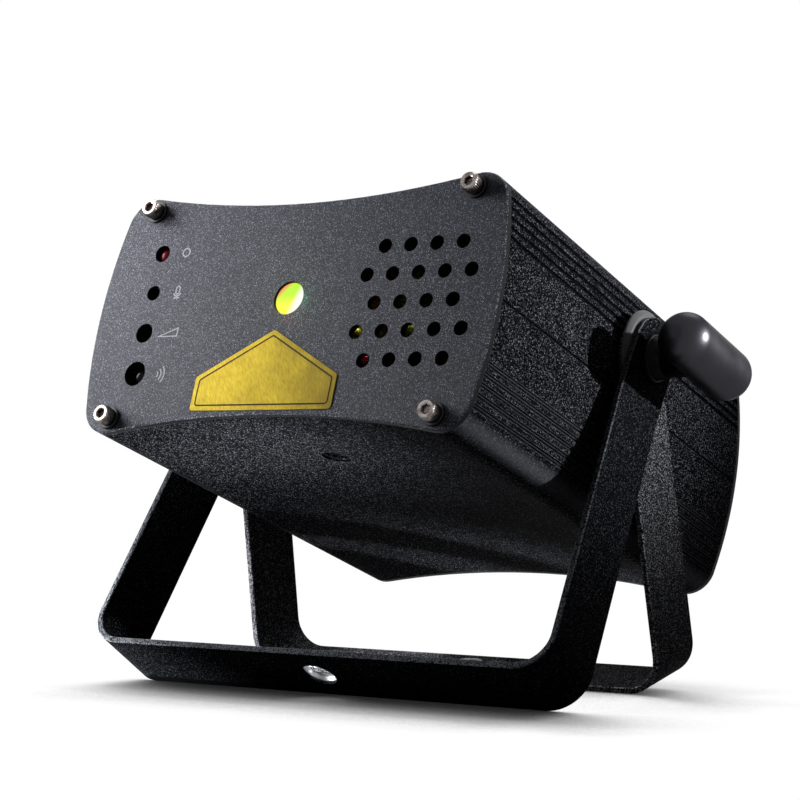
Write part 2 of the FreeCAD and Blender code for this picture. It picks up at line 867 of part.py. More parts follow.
def power_rocker():
    """Rocker cap with two slopes that meet at its pivot, tipped to its off side."""
    half_x = rocker_half_width - rocker_wall - rocker_play
    reach = rocker_half_height - rocker_wall - rocker_play
    lift = rocker_bezel_height + rocker_pivot_depth
    crown = lift + rocker_crown
    profile = ((lift, 0), (crown, reach), (0, reach), (-rocker_foot_radius, 0), (0, -reach), (crown, -reach))
    points = [Vec(0, y, z) for y, z in profile]
    cap = Part.Face(Part.makePolygon(points + points[:1])).extrude(RIGHT * (2 * half_x))
    cap.translate(RIGHT * -half_x)
    sweep = reach / math.cos(math.radians(rocker_tilt_degrees))
    cap = cap.common(rod(sweep, RIGHT * -half_x, RIGHT, 2 * half_x))
    pin_half = rocker_half_width - rocker_wall / 4 - running_gap
    cap = cap.fuse(rod(rocker_pin_radius, RIGHT * -pin_half, RIGHT, 2 * pin_half)).removeSplitter()
    cap.rotate(CENTRE, RIGHT, -rocker_tilt_degrees)
    cap.translate(Vec(switch_x, housing_depth - rocker_pivot_depth, switch_z))
    return cap


def dc_jack():
    face = housing_depth + jack_flange_height
    start = Vec(jack_x, face, jack_z)
    flange = rod(jack_flange_radius, start, -REAR, jack_flange_height)
    barrel = rod(jack_barrel_radius, start, -REAR, jack_depth)
    bore = rod(jack_bore_radius, start, -REAR, jack_bore_depth)
    pin = rod(jack_pin_radius, start - REAR * jack_pin_setback, -REAR, jack_bore_depth - jack_pin_setback)
    return flange.fuse(barrel).removeSplitter().cut(bore.cut(pin))


def dc_jack_nut():
    start = Vec(jack_x, shell_rear, jack_z)
    return hexagon(jack_nut_flats, start, -REAR, jack_nut_height).cut(
        rod(jack_barrel_radius + running_gap, start, -REAR, jack_nut_height))


def mode_switch():
    front = shell_rear - mode_body_depth
    body = block_about(mode_x, mode_z, mode_body_half, mode_body_half, front, shell_rear)
    collar_room = mode_collar_height + mode_travel + running_gap
    start = Vec(mode_x, shell_rear, mode_z)
    return body.cut(rod(mode_collar_radius + slide_gap, start, -REAR, collar_room))


def mode_button():
    start = Vec(mode_x, shell_rear - running_gap, mode_z)
    cap = rod(mode_cap_radius, start, REAR, plate_thickness + running_gap + mode_cap_proud)
    cap = cap.makeFillet(mode_cap_round, edges_at_depth(cap, housing_depth + mode_cap_proud))
    return cap.fuse(rod(mode_collar_radius, start, -REAR, mode_collar_height)).removeSplitter()


# Pivot hardware, drawn for the right side and turned round for the left
def on_side(make_piece, side):
    piece = make_piece()
    if side < 0:
        piece.rotate(CENTRE, UP, 180)
    piece.translate(Vec(0, pivot_y, pivot_z))
    return piece


def both_sides(make_piece):
    return Part.Compound([on_side(make_piece, side) for side in BOTH])


def pivot_insert():
    body = rod(insert_radius, RIGHT * insert_face_x, -RIGHT, insert_length)
    seat = side_x(pivot_z + insert_flange_radius) - wall - running_gap
    flange = hexagon(2 * insert_flange_radius, RIGHT * seat, -RIGHT, insert_flange_thickness)
    flange = flange.common(rod(insert_flange_radius, RIGHT * seat, -RIGHT, insert_flange_thickness))
    bore = rod(stud_radius + running_gap, RIGHT * insert_face_x, -RIGHT, insert_length)
    return body.fuse(flange).removeSplitter().cut(bore)


def pivot_washer():
    start = RIGHT * insert_face_x
    return ring(pivot_washer_radius, stud_radius + ear_hole_gap, start, RIGHT, pivot_washer_thickness)


def ear_washer():
    """Broad washer between the two ears, its outer edge chamfered."""
    bore = stud_radius + ear_hole_gap
    land = outer_ear_gap - ear_washer_chamfer
    profile = [(bore, 0), (ear_washer_radius, 0), (ear_washer_radius, land),
               (ear_washer_radius - ear_washer_chamfer, outer_ear_gap), (bore, outer_ear_gap)]
    return turned(profile, RIGHT * (inner_ear_x + strap_thickness), RIGHT)


def clamp_washer():
    start = RIGHT * clamp_washer_x
    return ring(clamp_washer_radius, stud_radius + running_gap, start, RIGHT, clamp_washer_thickness)


def clamp_knob():
    """T knob: a bar with rounded ends across the pivot axis, on a stepped neck."""
    end = knob_length / 2
    bar = rod(knob_radius, Vec(knob_centre_x, -end, 0), REAR, knob_length)
    bar = bar.makeFillet(knob_end_round, edges_at_depth(bar, -end) + edges_at_depth(bar, end))
    seat = RIGHT * knob_seat_x
    neck = rod(knob_neck_radius, seat, RIGHT, knob_centre_x - knob_seat_x)
    collar = Part.makeCone(knob_collar_radius, knob_neck_radius, knob_collar_height, seat, RIGHT)
    socket = rod(stud_radius, seat, RIGHT, stud_sunk)
    return fused([bar, neck, collar]).cut(socket)


def clamp_stud():
    end = insert_face_x - insert_length
    return rod(stud_radius, RIGHT * end, RIGHT, knob_seat_x + stud_sunk - end)


# Tripod socket
def tripod_socket():
    start = Vec(0, socket_y, -half_height)
    flange = rod(socket_flange_radius, start, UP, socket_flange_thickness)
    body = rod(socket_body_radius, start, UP, socket_length)
    return flange.fuse(body).removeSplitter().cut(rod(socket_bore_radius, start, UP, socket_length))


# Brackets, drawn hanging straight down from a pivot at the origin
def offset_path(points, distance):
    """Open path moved sideways by a distance, to the left of its direction in the front plane."""
    lines = []
    for first, second in zip(points, points[1:]):
        along = (second - first).normalize()
        lines.append((first + Vec(-along.z, 0, along.x) * distance, along))
    moved = [lines[0][0]]
    for (p, a), (q, b) in zip(lines, lines[1:]):
        cross = a.x * b.z - a.z * b.x
        moved.append(p + a * (((q.x - p.x) * b.z - (q.z - p.z) * b.x) / cross))
    moved.append(lines[-1][0] + lines[-1][1] * (points[-1] - points[-2]).Length)
    return moved


def rounded_corner(before, corner, after, radius):
    """Tangent points and middle of the arc that rounds a corner."""
    back = (before - corner).normalize()
    ahead = (after - corner).normalize()
    half_angle = back.getAngle(ahead) / 2
    reach = radius / math.tan(half_angle)
    bisector = (back + ahead).normalize()
    middle = corner + bisector * (radius / math.sin(half_angle) - radius)
    return corner + back * reach, middle, corner + ahead * reach


def strap_side(points, radius):
    """Edges of one face of the strap, with the two base corners rounded."""
    arcs = {k: rounded_corner(points[k - 1], points[k], points[k + 1], radius) for k in (2, 3)}
    edges = []
    last = points[0]
    for k, point in enumerate(points[1:], start=1):
        goal = arcs[k][0] if k in arcs else point
        edges.append(Part.LineSegment(last, goal).toShape())
        if k in arcs:
            edges.append(Part.Arc(*arcs[k]).toShape())
            goal = arcs[k][2]
        last = goal
    return edges


def long_edges(bar):
    """Edges that run along the bar, so not those across its width or its thickness."""
    boxes = [(edge, edge.BoundBox) for edge in bar.Edges]
    return [edge for edge, box in boxes if max(box.ZLength, box.XLength / 2) > strap_thickness]


def strap(ear_x, splay, reach):
    """U strap: upright ears, arms that splay out towards the base, rounded bends and a bored base."""
    depth = reach - strap_thickness
    half = strap_width / 2
    base_x = ear_x + splay
    right = [Vec(ear_x, 0, half), Vec(ear_x, 0, -ear_flat), Vec(base_x, 0, -depth)]
    inside = right + [Vec(-p.x, 0, p.z) for p in reversed(right)]
    outside = offset_path(inside, strap_thickness)
    edges = strap_side(inside, strap_bend) + strap_side(outside, strap_bend + strap_thickness)
    edges += [Part.LineSegment(inside[end], outside[end]).toShape() for end in (0, -1)]
    bar = Part.Face(Part.Wire(Part.__sortEdges__(edges))).extrude(REAR * strap_width)
    bar.translate(REAR * -half)
    far = base_x + strap_thickness + overrun
    above = slab(Vec(-far, -half, 0), Vec(far, half, half + overrun))
    bar = bar.cut(above.cut(rod(half, RIGHT * -far, RIGHT, 2 * far)))
    bar = bar.makeChamfer(strap_chamfer, long_edges(bar))
    bar = bar.cut(rod(stud_radius + ear_hole_gap, RIGHT * -far, RIGHT, 2 * far))
    return bar.cut(rod(base_hole_radius, UP * -(reach + overrun), UP, strap_thickness + 2 * overrun))


def inner_strap():
    return strap(inner_ear_x, inner_splay, inner_reach)


def outer_strap():
    return strap(outer_ear_x, outer_splay, outer_reach)


# Stance: both bases touch the floor with one edge, and the housing tilts nose-up about the pivot
half_strap = strap_width / 2 - strap_chamfer
rear_angle = math.radians(rear_lean_degrees)
pivot_height = inner_reach * math.cos(rear_angle) + half_strap * math.sin(rear_angle)
outer_corner = math.hypot(outer_reach, half_strap)
front_angle = math.atan2(half_strap, outer_reach) + math.acos(pivot_height / outer_corner)
front_lean_degrees = math.degrees(front_angle)

PIVOT = Vec(0, pivot_y, pivot_z)


def leaning(angle):
    """Turn about the pivot axis, then lift to the pivot height."""
    return FreeCAD.Placement(UP * pivot_height, FreeCAD.Rotation(RIGHT, angle))


HOUSING_PLACE = leaning(-housing_tilt_degrees) * FreeCAD.Placement(-PIVOT, FreeCAD.Rotation())
FRONT_PLACE = leaning(-front_lean_degrees)
REAR_PLACE = leaning(rear_lean_degrees)

HOUSING_PIECES = {
    "upper_shell": upper_shell(),
    "lower_shell": lower_shell(),
    "front_plate": front_plate(),
    "rear_plate": rear_plate(),
    "front_screws": at_corners(cap_screw, False),
    "front_spring_washers": at_corners(spring_washer, False),
    "front_flat_washers": at_corners(flat_washer, False),
    "rear_screws": at_corners(cap_screw, True),
    "rear_spring_washers": at_corners(spring_washer, True),
    "rear_flat_washers": at_corners(flat_washer, True),
    "status_led": status_led(),
    "mic_capsule": mic_capsule(),
    "volume_pot": volume_pot(),
    "volume_spindle": volume_spindle(),
    "infrared_receiver": infrared_receiver(),
    "control_board": control_board(),
    "control_standoffs": control_standoffs(),
    "aperture_window": aperture_window(),
    "window_retainer": window_retainer(),
    "chassis_plate": chassis_plate(),
    "green_laser_module": green_laser_module(),
    "green_laser_clamp": green_laser_clamp(),
    "red_laser_module": red_laser_module(),
    "red_laser_clamp": red_laser_clamp(),
    "combiner_mirror": combiner_mirror(),
    "combiner_holder": combiner_holder(),
    "grating_wheel": grating_wheel(),
    "grating_film": grating_film(),
    "motor_shaft": motor_shaft(),
    "grating_motor": grating_motor(),
    "motor_bracket": motor_bracket(),
    "main_board": main_board(),
    "board_standoffs": board_standoffs(),
    "board_parts": board_parts(),
    "fan_frame": fan_frame(),
    "fan_rotor": fan_rotor(),
    "fan_screws": fan_screws(),
    "rocker_housing": rocker_housing(),
    "power_rocker": power_rocker(),
    "dc_jack": dc_jack(),
    "dc_jack_nut": dc_jack_nut(),
    "mode_switch": mode_switch(),
    "mode_button": mode_button(),
    "pivot_inserts": both_sides(pivot_insert),
    "pivot_washers": both_sides(pivot_washer),
    "tripod_socket": tripod_socket(),
    "right_clamp_washer": on_side(clamp_washer, 1),
    "right_knob": on_side(clamp_knob, 1),
    "right_stud": on_side(clamp_stud, 1),
    "left_clamp_washer": on_side(clamp_washer, -1),
    "left_knob": on_side(clamp_knob, -1),
    "left_stud": on_side(clamp_stud, -1),
}


def ear_washers():
    washers = both_sides(ear_washer)
    washers.translate(-PIVOT)
    return washers


PLACED = [(name, shape, HOUSING_PLACE) for name, shape in HOUSING_PIECES.items()]
PLACED.append(("front_bracket", outer_strap(), FRONT_PLACE))
PLACED.append(("rear_bracket", inner_strap(), REAR_PLACE))
PLACED.append(("ear_washers", ear_washers(), REAR_PLACE))

pieces = {}
for name, shape, place in PLACED:
    shape.transformShape(place.toMatrix())
    pieces[name] = shape
whole = Part.Compound(list(pieces.values())).optimalBoundingBox(False, False)
middle_shift = REAR * (-(whole.YMin + whole.YMax) / 2)

os.makedirs("parts", exist_ok=True)
for name, shape in pieces.items():
    shape.translate(middle_shift)
    shape.exportStep(os.path.join("parts", name + ".step"))
print("size", [round(length, 2) for length in (whole.XLength, whole.YLength, whole.ZLength)])
print("pivot height", round(pivot_height, 3), "front lean", round(front_lean_degrees, 3))
print("lowest", round(whole.ZMin, 4))
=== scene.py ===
"""Looks of a laser show projector on two brackets: finishes, marks, threads, light, camera."""
import json
import math

import bmesh
import bpy
from mathutils import Matrix, Vector


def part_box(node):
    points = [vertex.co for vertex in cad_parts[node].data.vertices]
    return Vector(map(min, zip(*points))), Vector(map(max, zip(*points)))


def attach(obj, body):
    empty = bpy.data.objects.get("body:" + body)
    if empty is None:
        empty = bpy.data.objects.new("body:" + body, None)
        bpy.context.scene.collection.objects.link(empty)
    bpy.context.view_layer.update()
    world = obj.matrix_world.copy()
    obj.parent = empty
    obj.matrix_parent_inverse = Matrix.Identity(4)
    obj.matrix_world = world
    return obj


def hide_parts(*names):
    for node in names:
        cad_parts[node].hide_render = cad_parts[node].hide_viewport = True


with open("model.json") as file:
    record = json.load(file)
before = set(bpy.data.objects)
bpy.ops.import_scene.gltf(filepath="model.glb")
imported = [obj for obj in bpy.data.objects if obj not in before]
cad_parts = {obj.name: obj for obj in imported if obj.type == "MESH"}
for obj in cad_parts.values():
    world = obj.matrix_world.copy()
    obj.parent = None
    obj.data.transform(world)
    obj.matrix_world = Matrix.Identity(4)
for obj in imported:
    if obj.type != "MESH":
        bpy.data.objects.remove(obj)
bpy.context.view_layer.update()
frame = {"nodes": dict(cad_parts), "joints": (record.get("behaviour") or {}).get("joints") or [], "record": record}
nodes = frame["nodes"]
mounts = {mount["name"]: mount for mount in frame["record"]["mounts"]}
joints = {joint["name"]: joint for joint in frame["joints"]}

MM = 0.001
ACROSS = Vector((1, 0, 0))
ORIGIN = Vector((0, 0, 0))
WHITE = (1, 1, 1, 1)

# Camera, as it stood for the photograph
camera_place = (0.35238, -0.54500, 0.05967)
camera_lens = 95.10
camera_sensor = 36.0
camera_nearest = 0.01
camera_heading = 33.670
camera_rise = 2.378
camera_roll = 0.658

# World and floor
world_level = 0.07
floor_pale = 0.015
floor_bounce = 0.12
floor_glow = 0.99
floor_half = 6.0
floor_segments = 12

# Contact shadow on the floor: how far it looks for the part, which ways, and how dark it gets
contact_reach = 52 * MM
contact_leans = ((0.11, 0.99, 0.15), (-0.96, 0.28, 0.15))
contact_samples = 8
contact_depth = 6.2

# Lamps: sun from above, softbox on the front, key on the right side with its gloss on the knob,
# rim on the front bar, fill at the back
sun_from = (-0.15, 0.55, 0.85)
sun_energy = 1.5
sun_angle = 30.0
left_from = (-0.205, -0.145, 0.19)
left_size = (0.12, 0.16)
left_power = 1.51
key_from = (0.93, 0.344, 0.128)
key_aim = (0.075, -0.010, 0.134)
key_distance = 0.9
key_radius = 18 * MM
key_spread = 13.8
key_power = 66.0
gloss_spread = 7.0
gloss_power = 190.0
rim_from = (-0.30, -0.30, 0.010)
rim_aim = (-0.092, -0.056, 0.012)
rim_radius = 20 * MM
rim_spread = 11.0
rim_power = 80.0
rear_from = (0.02, 0.42, 0.24)
rear_size = 0.25
rear_power = 0.9

# Strip light below the underside's front, placed in housing millimetres
under_from = (-22.0, 5.0, -104.0)
under_aim = (-22.0, 24.0, -34.0)
under_size = (0.070, 0.012)
under_spread = 74.0
under_power = 0.038

# Glow of the beam on the aperture's rim
beam_glow_power = 0.0012
beam_glow_radius = 3.5 * MM
beam_glow_proud = 5.0 * MM
beam_glow_tint = (0.75, 1.0, 0.15)

# Stray beams in the housing and at the aperture's rim: place in housing millimetres, tint, power
spills = (
    ((-47.4, 95.9, 32.3), (0.85, 1.0, 0.05), 0.006),
    ((-20.4, 87.6, 29.2), (0.85, 1.0, 0.05), 0.006),
    ((-51.8, 108.8, 27.5), (1.0, 0.06, 0.10), 0.0048),
    ((5.2, -1.6, 2.4), (0.10, 1.0, 0.40), 0.00025),
    ((1.2, -1.6, -3.4), (1.0, 0.12, 0.15), 0.00012),
)
spill_radius = 0.5 * MM

# Gold plate on the front, in millimetres from the middle of the face
gold_middle = -2.2
gold_half_width = 24.4
gold_apex = -6.9
gold_shoulder = -20.6
gold_bottom = -30.6
gold_corner = 0.9
gold_thickness = 0.25
border_inset = 1.5
border_width = 0.45
print_thickness = 0.03

# Printed control marks
mark_x = -41.0
mark_height = 4.2
mark_line = 0.42

# Aperture
aperture_height = 2.7
window_sheen_reach = 5.0 * MM

# Cap screws
cap_radius = 2.75
cap_seat = 1.6
cap_height = 3.0
cap_chamfer = 0.4
cap_shank_radius = 1.5
cap_shank_length = 12.0
knurl_count = 30
knurl_depth = 0.16
knurl_land = 0.35
knurl_steps = 4
key_flats = 2.5
key_mouth = 1.62
key_mouth_depth = 0.25
key_depth = 1.7
key_point = 0.5

# Fan screws
fan_screw_head = 2.8
fan_screw_head_height = 1.6
fan_screw_rim = 0.35
fan_screw_radius = 1.5
fan_screw_length = 10.0
fan_screw_steps = 40
crown_turns = (15, 30, 45, 60, 75)
recess_width = 0.75
recess_reach = 1.7
recess_depth = 1.0

# Tripod thread
thread_pitch = 1.27
thread_depth = 0.45
thread_wall = 0.9
thread_flange = 0.8
thread_steps = 48
thread_rises = 10

# Bare rims of the base holes
rim_width = 0.25
rim_slope = 0.2
rim_lip = 0.15
rim_lap = 0.01
rim_proud = 0.06

# Inlet contact pin, as radius and depth
pin_profile = ((0, -9.4), (1.04, -9.4), (1.04, -1.3), (0.75, -0.95), (0.3, -0.9), (0, -0.9))
pin_steps = 32

# Edges
smooth_limit = 30.0
stroke_mitre = 0.3
weld_gap = 0.001 * MM
edge_limit = 40.0
edge_segments = 2


# Frames of the housing's faces
def housing_frame():
    """Level housing's frame: x across, y to the rear from the front face, z up from mid-height."""
    rear = Vector(joints["wheel_spin"]["axis"]).normalized()
    turn = Matrix((ACROSS, rear, ACROSS.cross(rear))).transposed()
    corners = [turn.transposed() @ vertex.co for vertex in nodes["front_plate"].data.vertices]
    low = Vector([min(corner[k] for corner in corners) for k in range(3)])
    high = Vector([max(corner[k] for corner in corners) for k in range(3)])
    origin = turn @ Vector(((low.x + high.x) / 2, low.y, (low.z + high.z) / 2))
    return Matrix.Translation(origin) @ turn.to_4x4()


HOUSING = housing_frame()
HOUSING_AXES = [Vector(axis) for axis in HOUSING.to_3x3().col]
# Face frames have x to the right, y up the face and z out of it
FACE = Matrix(((1, 0, 0, 0), (0, 0, -1, 0), (0, 1, 0, 0), (0, 0, 0, 1)))
FRONT = HOUSING @ FACE
housing_length = max((HOUSING.inverted() @ v.co).y for v in nodes["rear_plate"].data.vertices)
TO_REAR = Matrix.Translation((0, housing_length, 0))
BACK = HOUSING @ TO_REAR @ Matrix.Rotation(math.pi, 4, "Z") @ FACE


def in_housing(point):
    """Place of a point given in housing millimetres."""
    return HOUSING @ (Vector(point) * MM)


def along(point, direction):
    """Matrix that stands local z on a point, along a direction."""
    turn = Vector(direction).to_track_quat("Z", "Y").to_matrix()
    return Matrix.Translation(point) @ turn.to_4x4()


# Mesh helpers, all in millimetres until they are placed
def linked(name, data):
    """New object in the scene."""
    obj = bpy.data.objects.new(name, data)
    bpy.context.scene.collection.objects.link(obj)
    return obj


def smoothed(mesh):
    """Smooth shading, with sharp edges where faces meet at more than the limit."""
    mesh.shade_smooth()
    mesh.set_sharp_from_angle(angle=math.radians(smooth_limit))


def placed(name, mesh_data, place):
    """Object from a bmesh in millimetres, put into the row frame."""
    bmesh.ops.recalc_face_normals(mesh_data, faces=mesh_data.faces)
    mesh_data.transform(place @ Matrix.Scale(MM, 4))
    mesh = bpy.data.meshes.new(name)
    mesh_data.to_mesh(mesh)
    mesh_data.free()
    smoothed(mesh)
    return linked(name, mesh)


def finished(obj, material, body):
    """Piece with its material, riding on its body."""
    obj.data.materials.append(material)
    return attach(obj, body)


def joined(target, part):
    """Adds one mesh to another and frees it."""
    data = bpy.data.meshes.new("part")
    part.to_mesh(data)
    part.free()
    target.from_mesh(data)
    bpy.data.meshes.remove(data)


def cut_by(target, cutter):
    """Target with the cutter taken away from it."""
    cut = target.modifiers.new("cut", "BOOLEAN")
    cut.object = cutter
    cut.solver = "EXACT"
    graph = bpy.context.evaluated_depsgraph_get()
    made = bpy.data.meshes.new_from_object(target.evaluated_get(graph))
    target.modifiers.clear()
    target.data = made
    bpy.data.objects.remove(cutter)
    smoothed(made)
    return target


def full_turn(steps):
    return [2 * math.pi * k / steps for k in range(steps)]


def ring_points(reaches, turns, height):
    return [(r * math.cos(t), r * math.sin(t), height) for r, t in zip(reaches, turns)]


def add_rows(target, points):
    return [target.verts.new(point) for point in points]


def add_prism(target, outline, low, high):
    """Upright prism over a closed outline of x, y points."""
    rings = [add_rows(target, [(x, y, z) for x, y in outline]) for z in (low, high)]
    count = len(outline)
    for k in range(count):
        after = (k + 1) % count
        target.faces.new((rings[0][k], rings[0][after], rings[1][after], rings[1][k]))
    target.faces.new(rings[1])
    target.faces.new(list(reversed(rings[0])))


def add_stroke(target, points, width, low, high, closed=False):
    """Line of even width along x, y points, as a thin raised strip."""
    count = len(points)
    rows = []
    for k, point in enumerate(points):
        point = Vector(point)
        legs = []
        if closed or k > 0:
            legs.append((point - Vector(points[k - 1])).normalized())
        if closed or k < count - 1:
            legs.append((Vector(points[(k + 1) % count]) - point).normalized())
        way = sum(legs, Vector((0, 0))).normalized()
        aside = Vector((-way.y, way.x)) * (width / 2 / max(stroke_mitre, way.dot(legs[0])))
        left, right = point + aside, point - aside
        corners = ((left, low), (left, high), (right, high), (right, low))
        rows.append(add_rows(target, [(p.x, p.y, z) for p, z in corners]))
    for k in range(count if closed else count - 1):
        first, second = rows[k], rows[(k + 1) % count]
        for j in range(4):
            after = (j + 1) % 4
            target.faces.new((first[j], second[j], second[after], first[after]))
    if not closed:
        target.faces.new(rows[0])
        target.faces.new(list(reversed(rows[-1])))


def add_lathe(target, profile, steps=64, closed=True):
    """Turned solid about z from radius, height pairs.

    A radius may vary with the turn, and zero closes to the axis.
    """
    turns = full_turn(steps)
    rings = []
    for radius, height in profile:
        if radius == 0:
            rings.append(add_rows(target, [(0, 0, height)]))
            continue
        reaches = [radius(t) if callable(radius) else radius for t in turns]
        rings.append(add_rows(target, ring_points(reaches, turns, height)))
    pairs = list(zip(rings, rings[1:]))
    if closed:
        pairs.append((rings[-1], rings[0]))
    for first, second in pairs:
        for k in range(steps):
            after = (k + 1) % steps
            corners = [first[k % len(first)], first[after % len(first)],
                       second[after % len(second)], second[k % len(second)]]
            unique = list(dict.fromkeys(corners))
            if len(unique) > 2:
                target.faces.new(unique)


def arc_points(centre, radius, start, end, steps=16):
    """Points of an arc, from one angle in degrees to another."""
    turns = [math.radians(start + (end - start) * k / steps) for k in range(steps + 1)]
    return [(centre[0] + radius * math.cos(t), centre[1] + radius * math.sin(t)) for t in turns]


def rounded(points, radius, steps=6):
    """Closed outline with every corner rounded."""
    outline = []
    count = len(points)
    for k, corner in enumerate(points):
        corner = Vector(corner)
        back = (Vector(points[k - 1]) - corner).normalized()
        ahead = (Vector(points[(k + 1) % count]) - corner).normalized()
        half = back.angle(ahead) / 2
        middle = corner + (back + ahead).normalized() * (radius / math.sin(half))
        first = corner + back * (radius / math.tan(half))
        last = corner + ahead * (radius / math.tan(half))
        start = first - middle
        turn = start.angle_signed(last - middle)
        for step in range(steps + 1):
            outline.append(middle + Matrix.Rotation(-turn * step / steps, 2) @ start)
    return [(p.x, p.y) for p in outline]


# Materials. A span is the pair of values over which something fades in or out.
noise_span = (0.3, 0.7)

# Coats: grains and flecks, broad clouds, painted shade in grooves, edge wear with painted edge highlights, painted
# sheen on corners and lips
grain_turn = (0.61, 0.37, 1.13)
fleck_fade = (0.6, 0.25)
fleck_power = 1.5
coat_tones = (0.45, 1.55)
coat_heights = (0.6, -0.7)
coat_gloss = (-0.05, 0.05)
cloud_grains = 30
cloud_span = (0.35, 0.65)
cloud_share = 0.35
cloud_tone = 0.7
sky_samples = 4
# Painted shade in grooves: how far to look for walls, and how fast flecks fade
groove_shade_reach = 1.8 * MM
groove_shade_span = (0.70, 0.97)
# Edge wear with painted edge highlights: flecks on edges aslant to an axis
edge_span = (0.4, 0.55)
flat_span = (0.95, 0.85)
edge_fleck_whole = 1.1
edge_fleck_pull = 0.25
# Painted sheen on the shells' down-facing corners and groove lips
corner_across = (0.30, 0.65)
corner_down = (0.35, 0.65)
corner_sheen = 0.28
lip_reach = 0.35 * MM
lip_samples = 4
lip_span = (0.99, 0.92)
lip_sky = (0.6, 0.9)
lip_sheen = 0.28
sheen_least = 0.5
seam_span = (1.0 * MM, 5.0 * MM)
# Painted shade on faces edge-on to a coat's rim axis
rim_shade_span = (0.25, 0.45)
rim_shade_tone = 0.12

# Metals: tool marks, stains, and painted shade in recesses
tool_mark = 0.3 * MM
tool_mark_depth = 0.01 * MM
metal_gloss = (-0.08, 0.1)
stain_size = 2.5 * MM
stain_span = (0.45, 0.7)
# Painted shade in recesses of bare metal
recess_shade_reach = 1.6 * MM
recess_shade_span = (0.25, 0.75)
recess_shade_tone = 0.06

# Plastics: tones, and painted shade on a neck between a knob and what it clamps
plastic_tones = (0.85, 1.15)
plastic_gloss = (-0.05, 0.06)
plastic_cloud = 12 * MM
# Painted shade on a knob's neck
neck_shade_reach = 16.0 * MM
neck_shade_samples = 8
neck_shade_span = (0.75, 0.97)
neck_shade_tone = 0.08


class Surface:
    """Node material with one main shader, and short ways to add textures to it."""

    def __init__(self, name, **constants):
        self.material = bpy.data.materials.new(name)
        self.material.use_nodes = True
        self.tree = self.material.node_tree
        self.shader = self.tree.nodes["Principled BSDF"]
        for socket, value in constants.items():
            self.shader.inputs[socket.replace("_", " ")].default_value = value
        coordinates = self.add("ShaderNodeTexCoord").outputs
        self.place = coordinates["Object"]
        self.normal = coordinates["Normal"]

    def add(self, kind, inputs=None, **settings):
        node = self.tree.nodes.new(kind)
        for name, value in settings.items():
            setattr(node, name, value)
        for socket, value in (inputs or {}).items():
            if isinstance(value, bpy.types.NodeSocket):
                self.tree.links.new(value, node.inputs[socket])
            else:
                node.inputs[socket].default_value = value
        return node

    def link(self, socket, source):
        self.tree.links.new(source, self.shader.inputs[socket])

    def vector(self, operation, first, second, output=0):
        node = self.add("ShaderNodeVectorMath", {0: first, 1: second}, operation=operation)
        return node.outputs[output]

    def dot(self, first, second):
        return self.vector("DOT_PRODUCT", first, second, "Value")

    def facing(self, axis):
        """How far the surface faces along an axis, from 0 across it to 1."""
        return self.math("ABSOLUTE", self.dot(self.normal, axis))

    def open_sky(self, reach, samples=sky_samples, **lean):
        """How open the surface lies within a reach, from 0 shut in to 1."""
        inputs = {"Distance": reach, **lean}
        return self.add("ShaderNodeAmbientOcclusion", inputs, samples=samples).outputs["AO"]

    def noise(self, size, detail=3.0, source=None):
        inputs = {"Vector": source or self.place, "Scale": 1 / size, "Detail": detail}
        return self.add("ShaderNodeTexNoise", inputs).outputs[0]

    def cells(self, size):
        """Two random values of each grain, and the distance from its middle; all askew."""
        askew = self.add("ShaderNodeMapping", {"Vector": self.place, "Rotation": grain_turn})
        node = self.add("ShaderNodeTexVoronoi", {"Vector": askew.outputs[0], "Scale": 1 / size})
        parts = self.add("ShaderNodeSeparateColor", {0: node.outputs["Color"]}).outputs
        return parts[0], parts[1], node.outputs["Distance"]

    def math(self, operation, first, second=0.0):
        return self.add("ShaderNodeMath", {0: first, 1: second}, operation=operation).outputs[0]

    def product(self, first, second):
        return self.math("MULTIPLY", first, second)

    def total(self, first, second):
        return self.math("ADD", first, second)

    def ramp(self, source, low, high, to_low=0.0, to_high=1.0):
        inputs = {0: source, 1: low, 2: high, 3: to_low, 4: to_high}
        return self.add("ShaderNodeMapRange", inputs).outputs[0]

    def mix(self, factor, first, second):
        node = self.add("ShaderNodeMix", data_type="RGBA")
        for index, value in ((0, factor), (6, first), (7, second)):
            if isinstance(value, bpy.types.NodeSocket):
                self.tree.links.new(value, node.inputs[index])
            else:
                node.inputs[index].default_value = value if index == 0 else colour(value)
        return node.outputs[2]

    def gloss(self, source, low, high):
        """Roughness that follows a noise from low to high."""
        self.link("Roughness", self.ramp(source, *noise_span, low, high))

    def bump(self, height, depth):
        """Relief from a height map."""
        node = self.add("ShaderNodeBump", {"Height": height, "Distance": depth})
        self.link("Normal", node.outputs[0])


def colour(value):
    return (*value, 1.0) if len(value) == 3 else value


def times(rgb, factor):
    return tuple(part * factor for part in rgb)


def edge_wear_and_highlight(axis, wear_and_sheen, flat=0.0):
    """Edge wear and painted edge highlights for a coat: flecks on edges aslant to an axis, fewer where they face
    along it.
    """
    def factor(s, chance, _):
        aslant = s.facing(axis)
        edge = s.product(s.ramp(aslant, *edge_span), s.ramp(aslant, *flat_span, flat, 1.0))
        return s.product(edge, s.ramp(chance, 1 - wear_and_sheen, edge_fleck_whole - edge_fleck_pull * wear_and_sheen))
    return factor


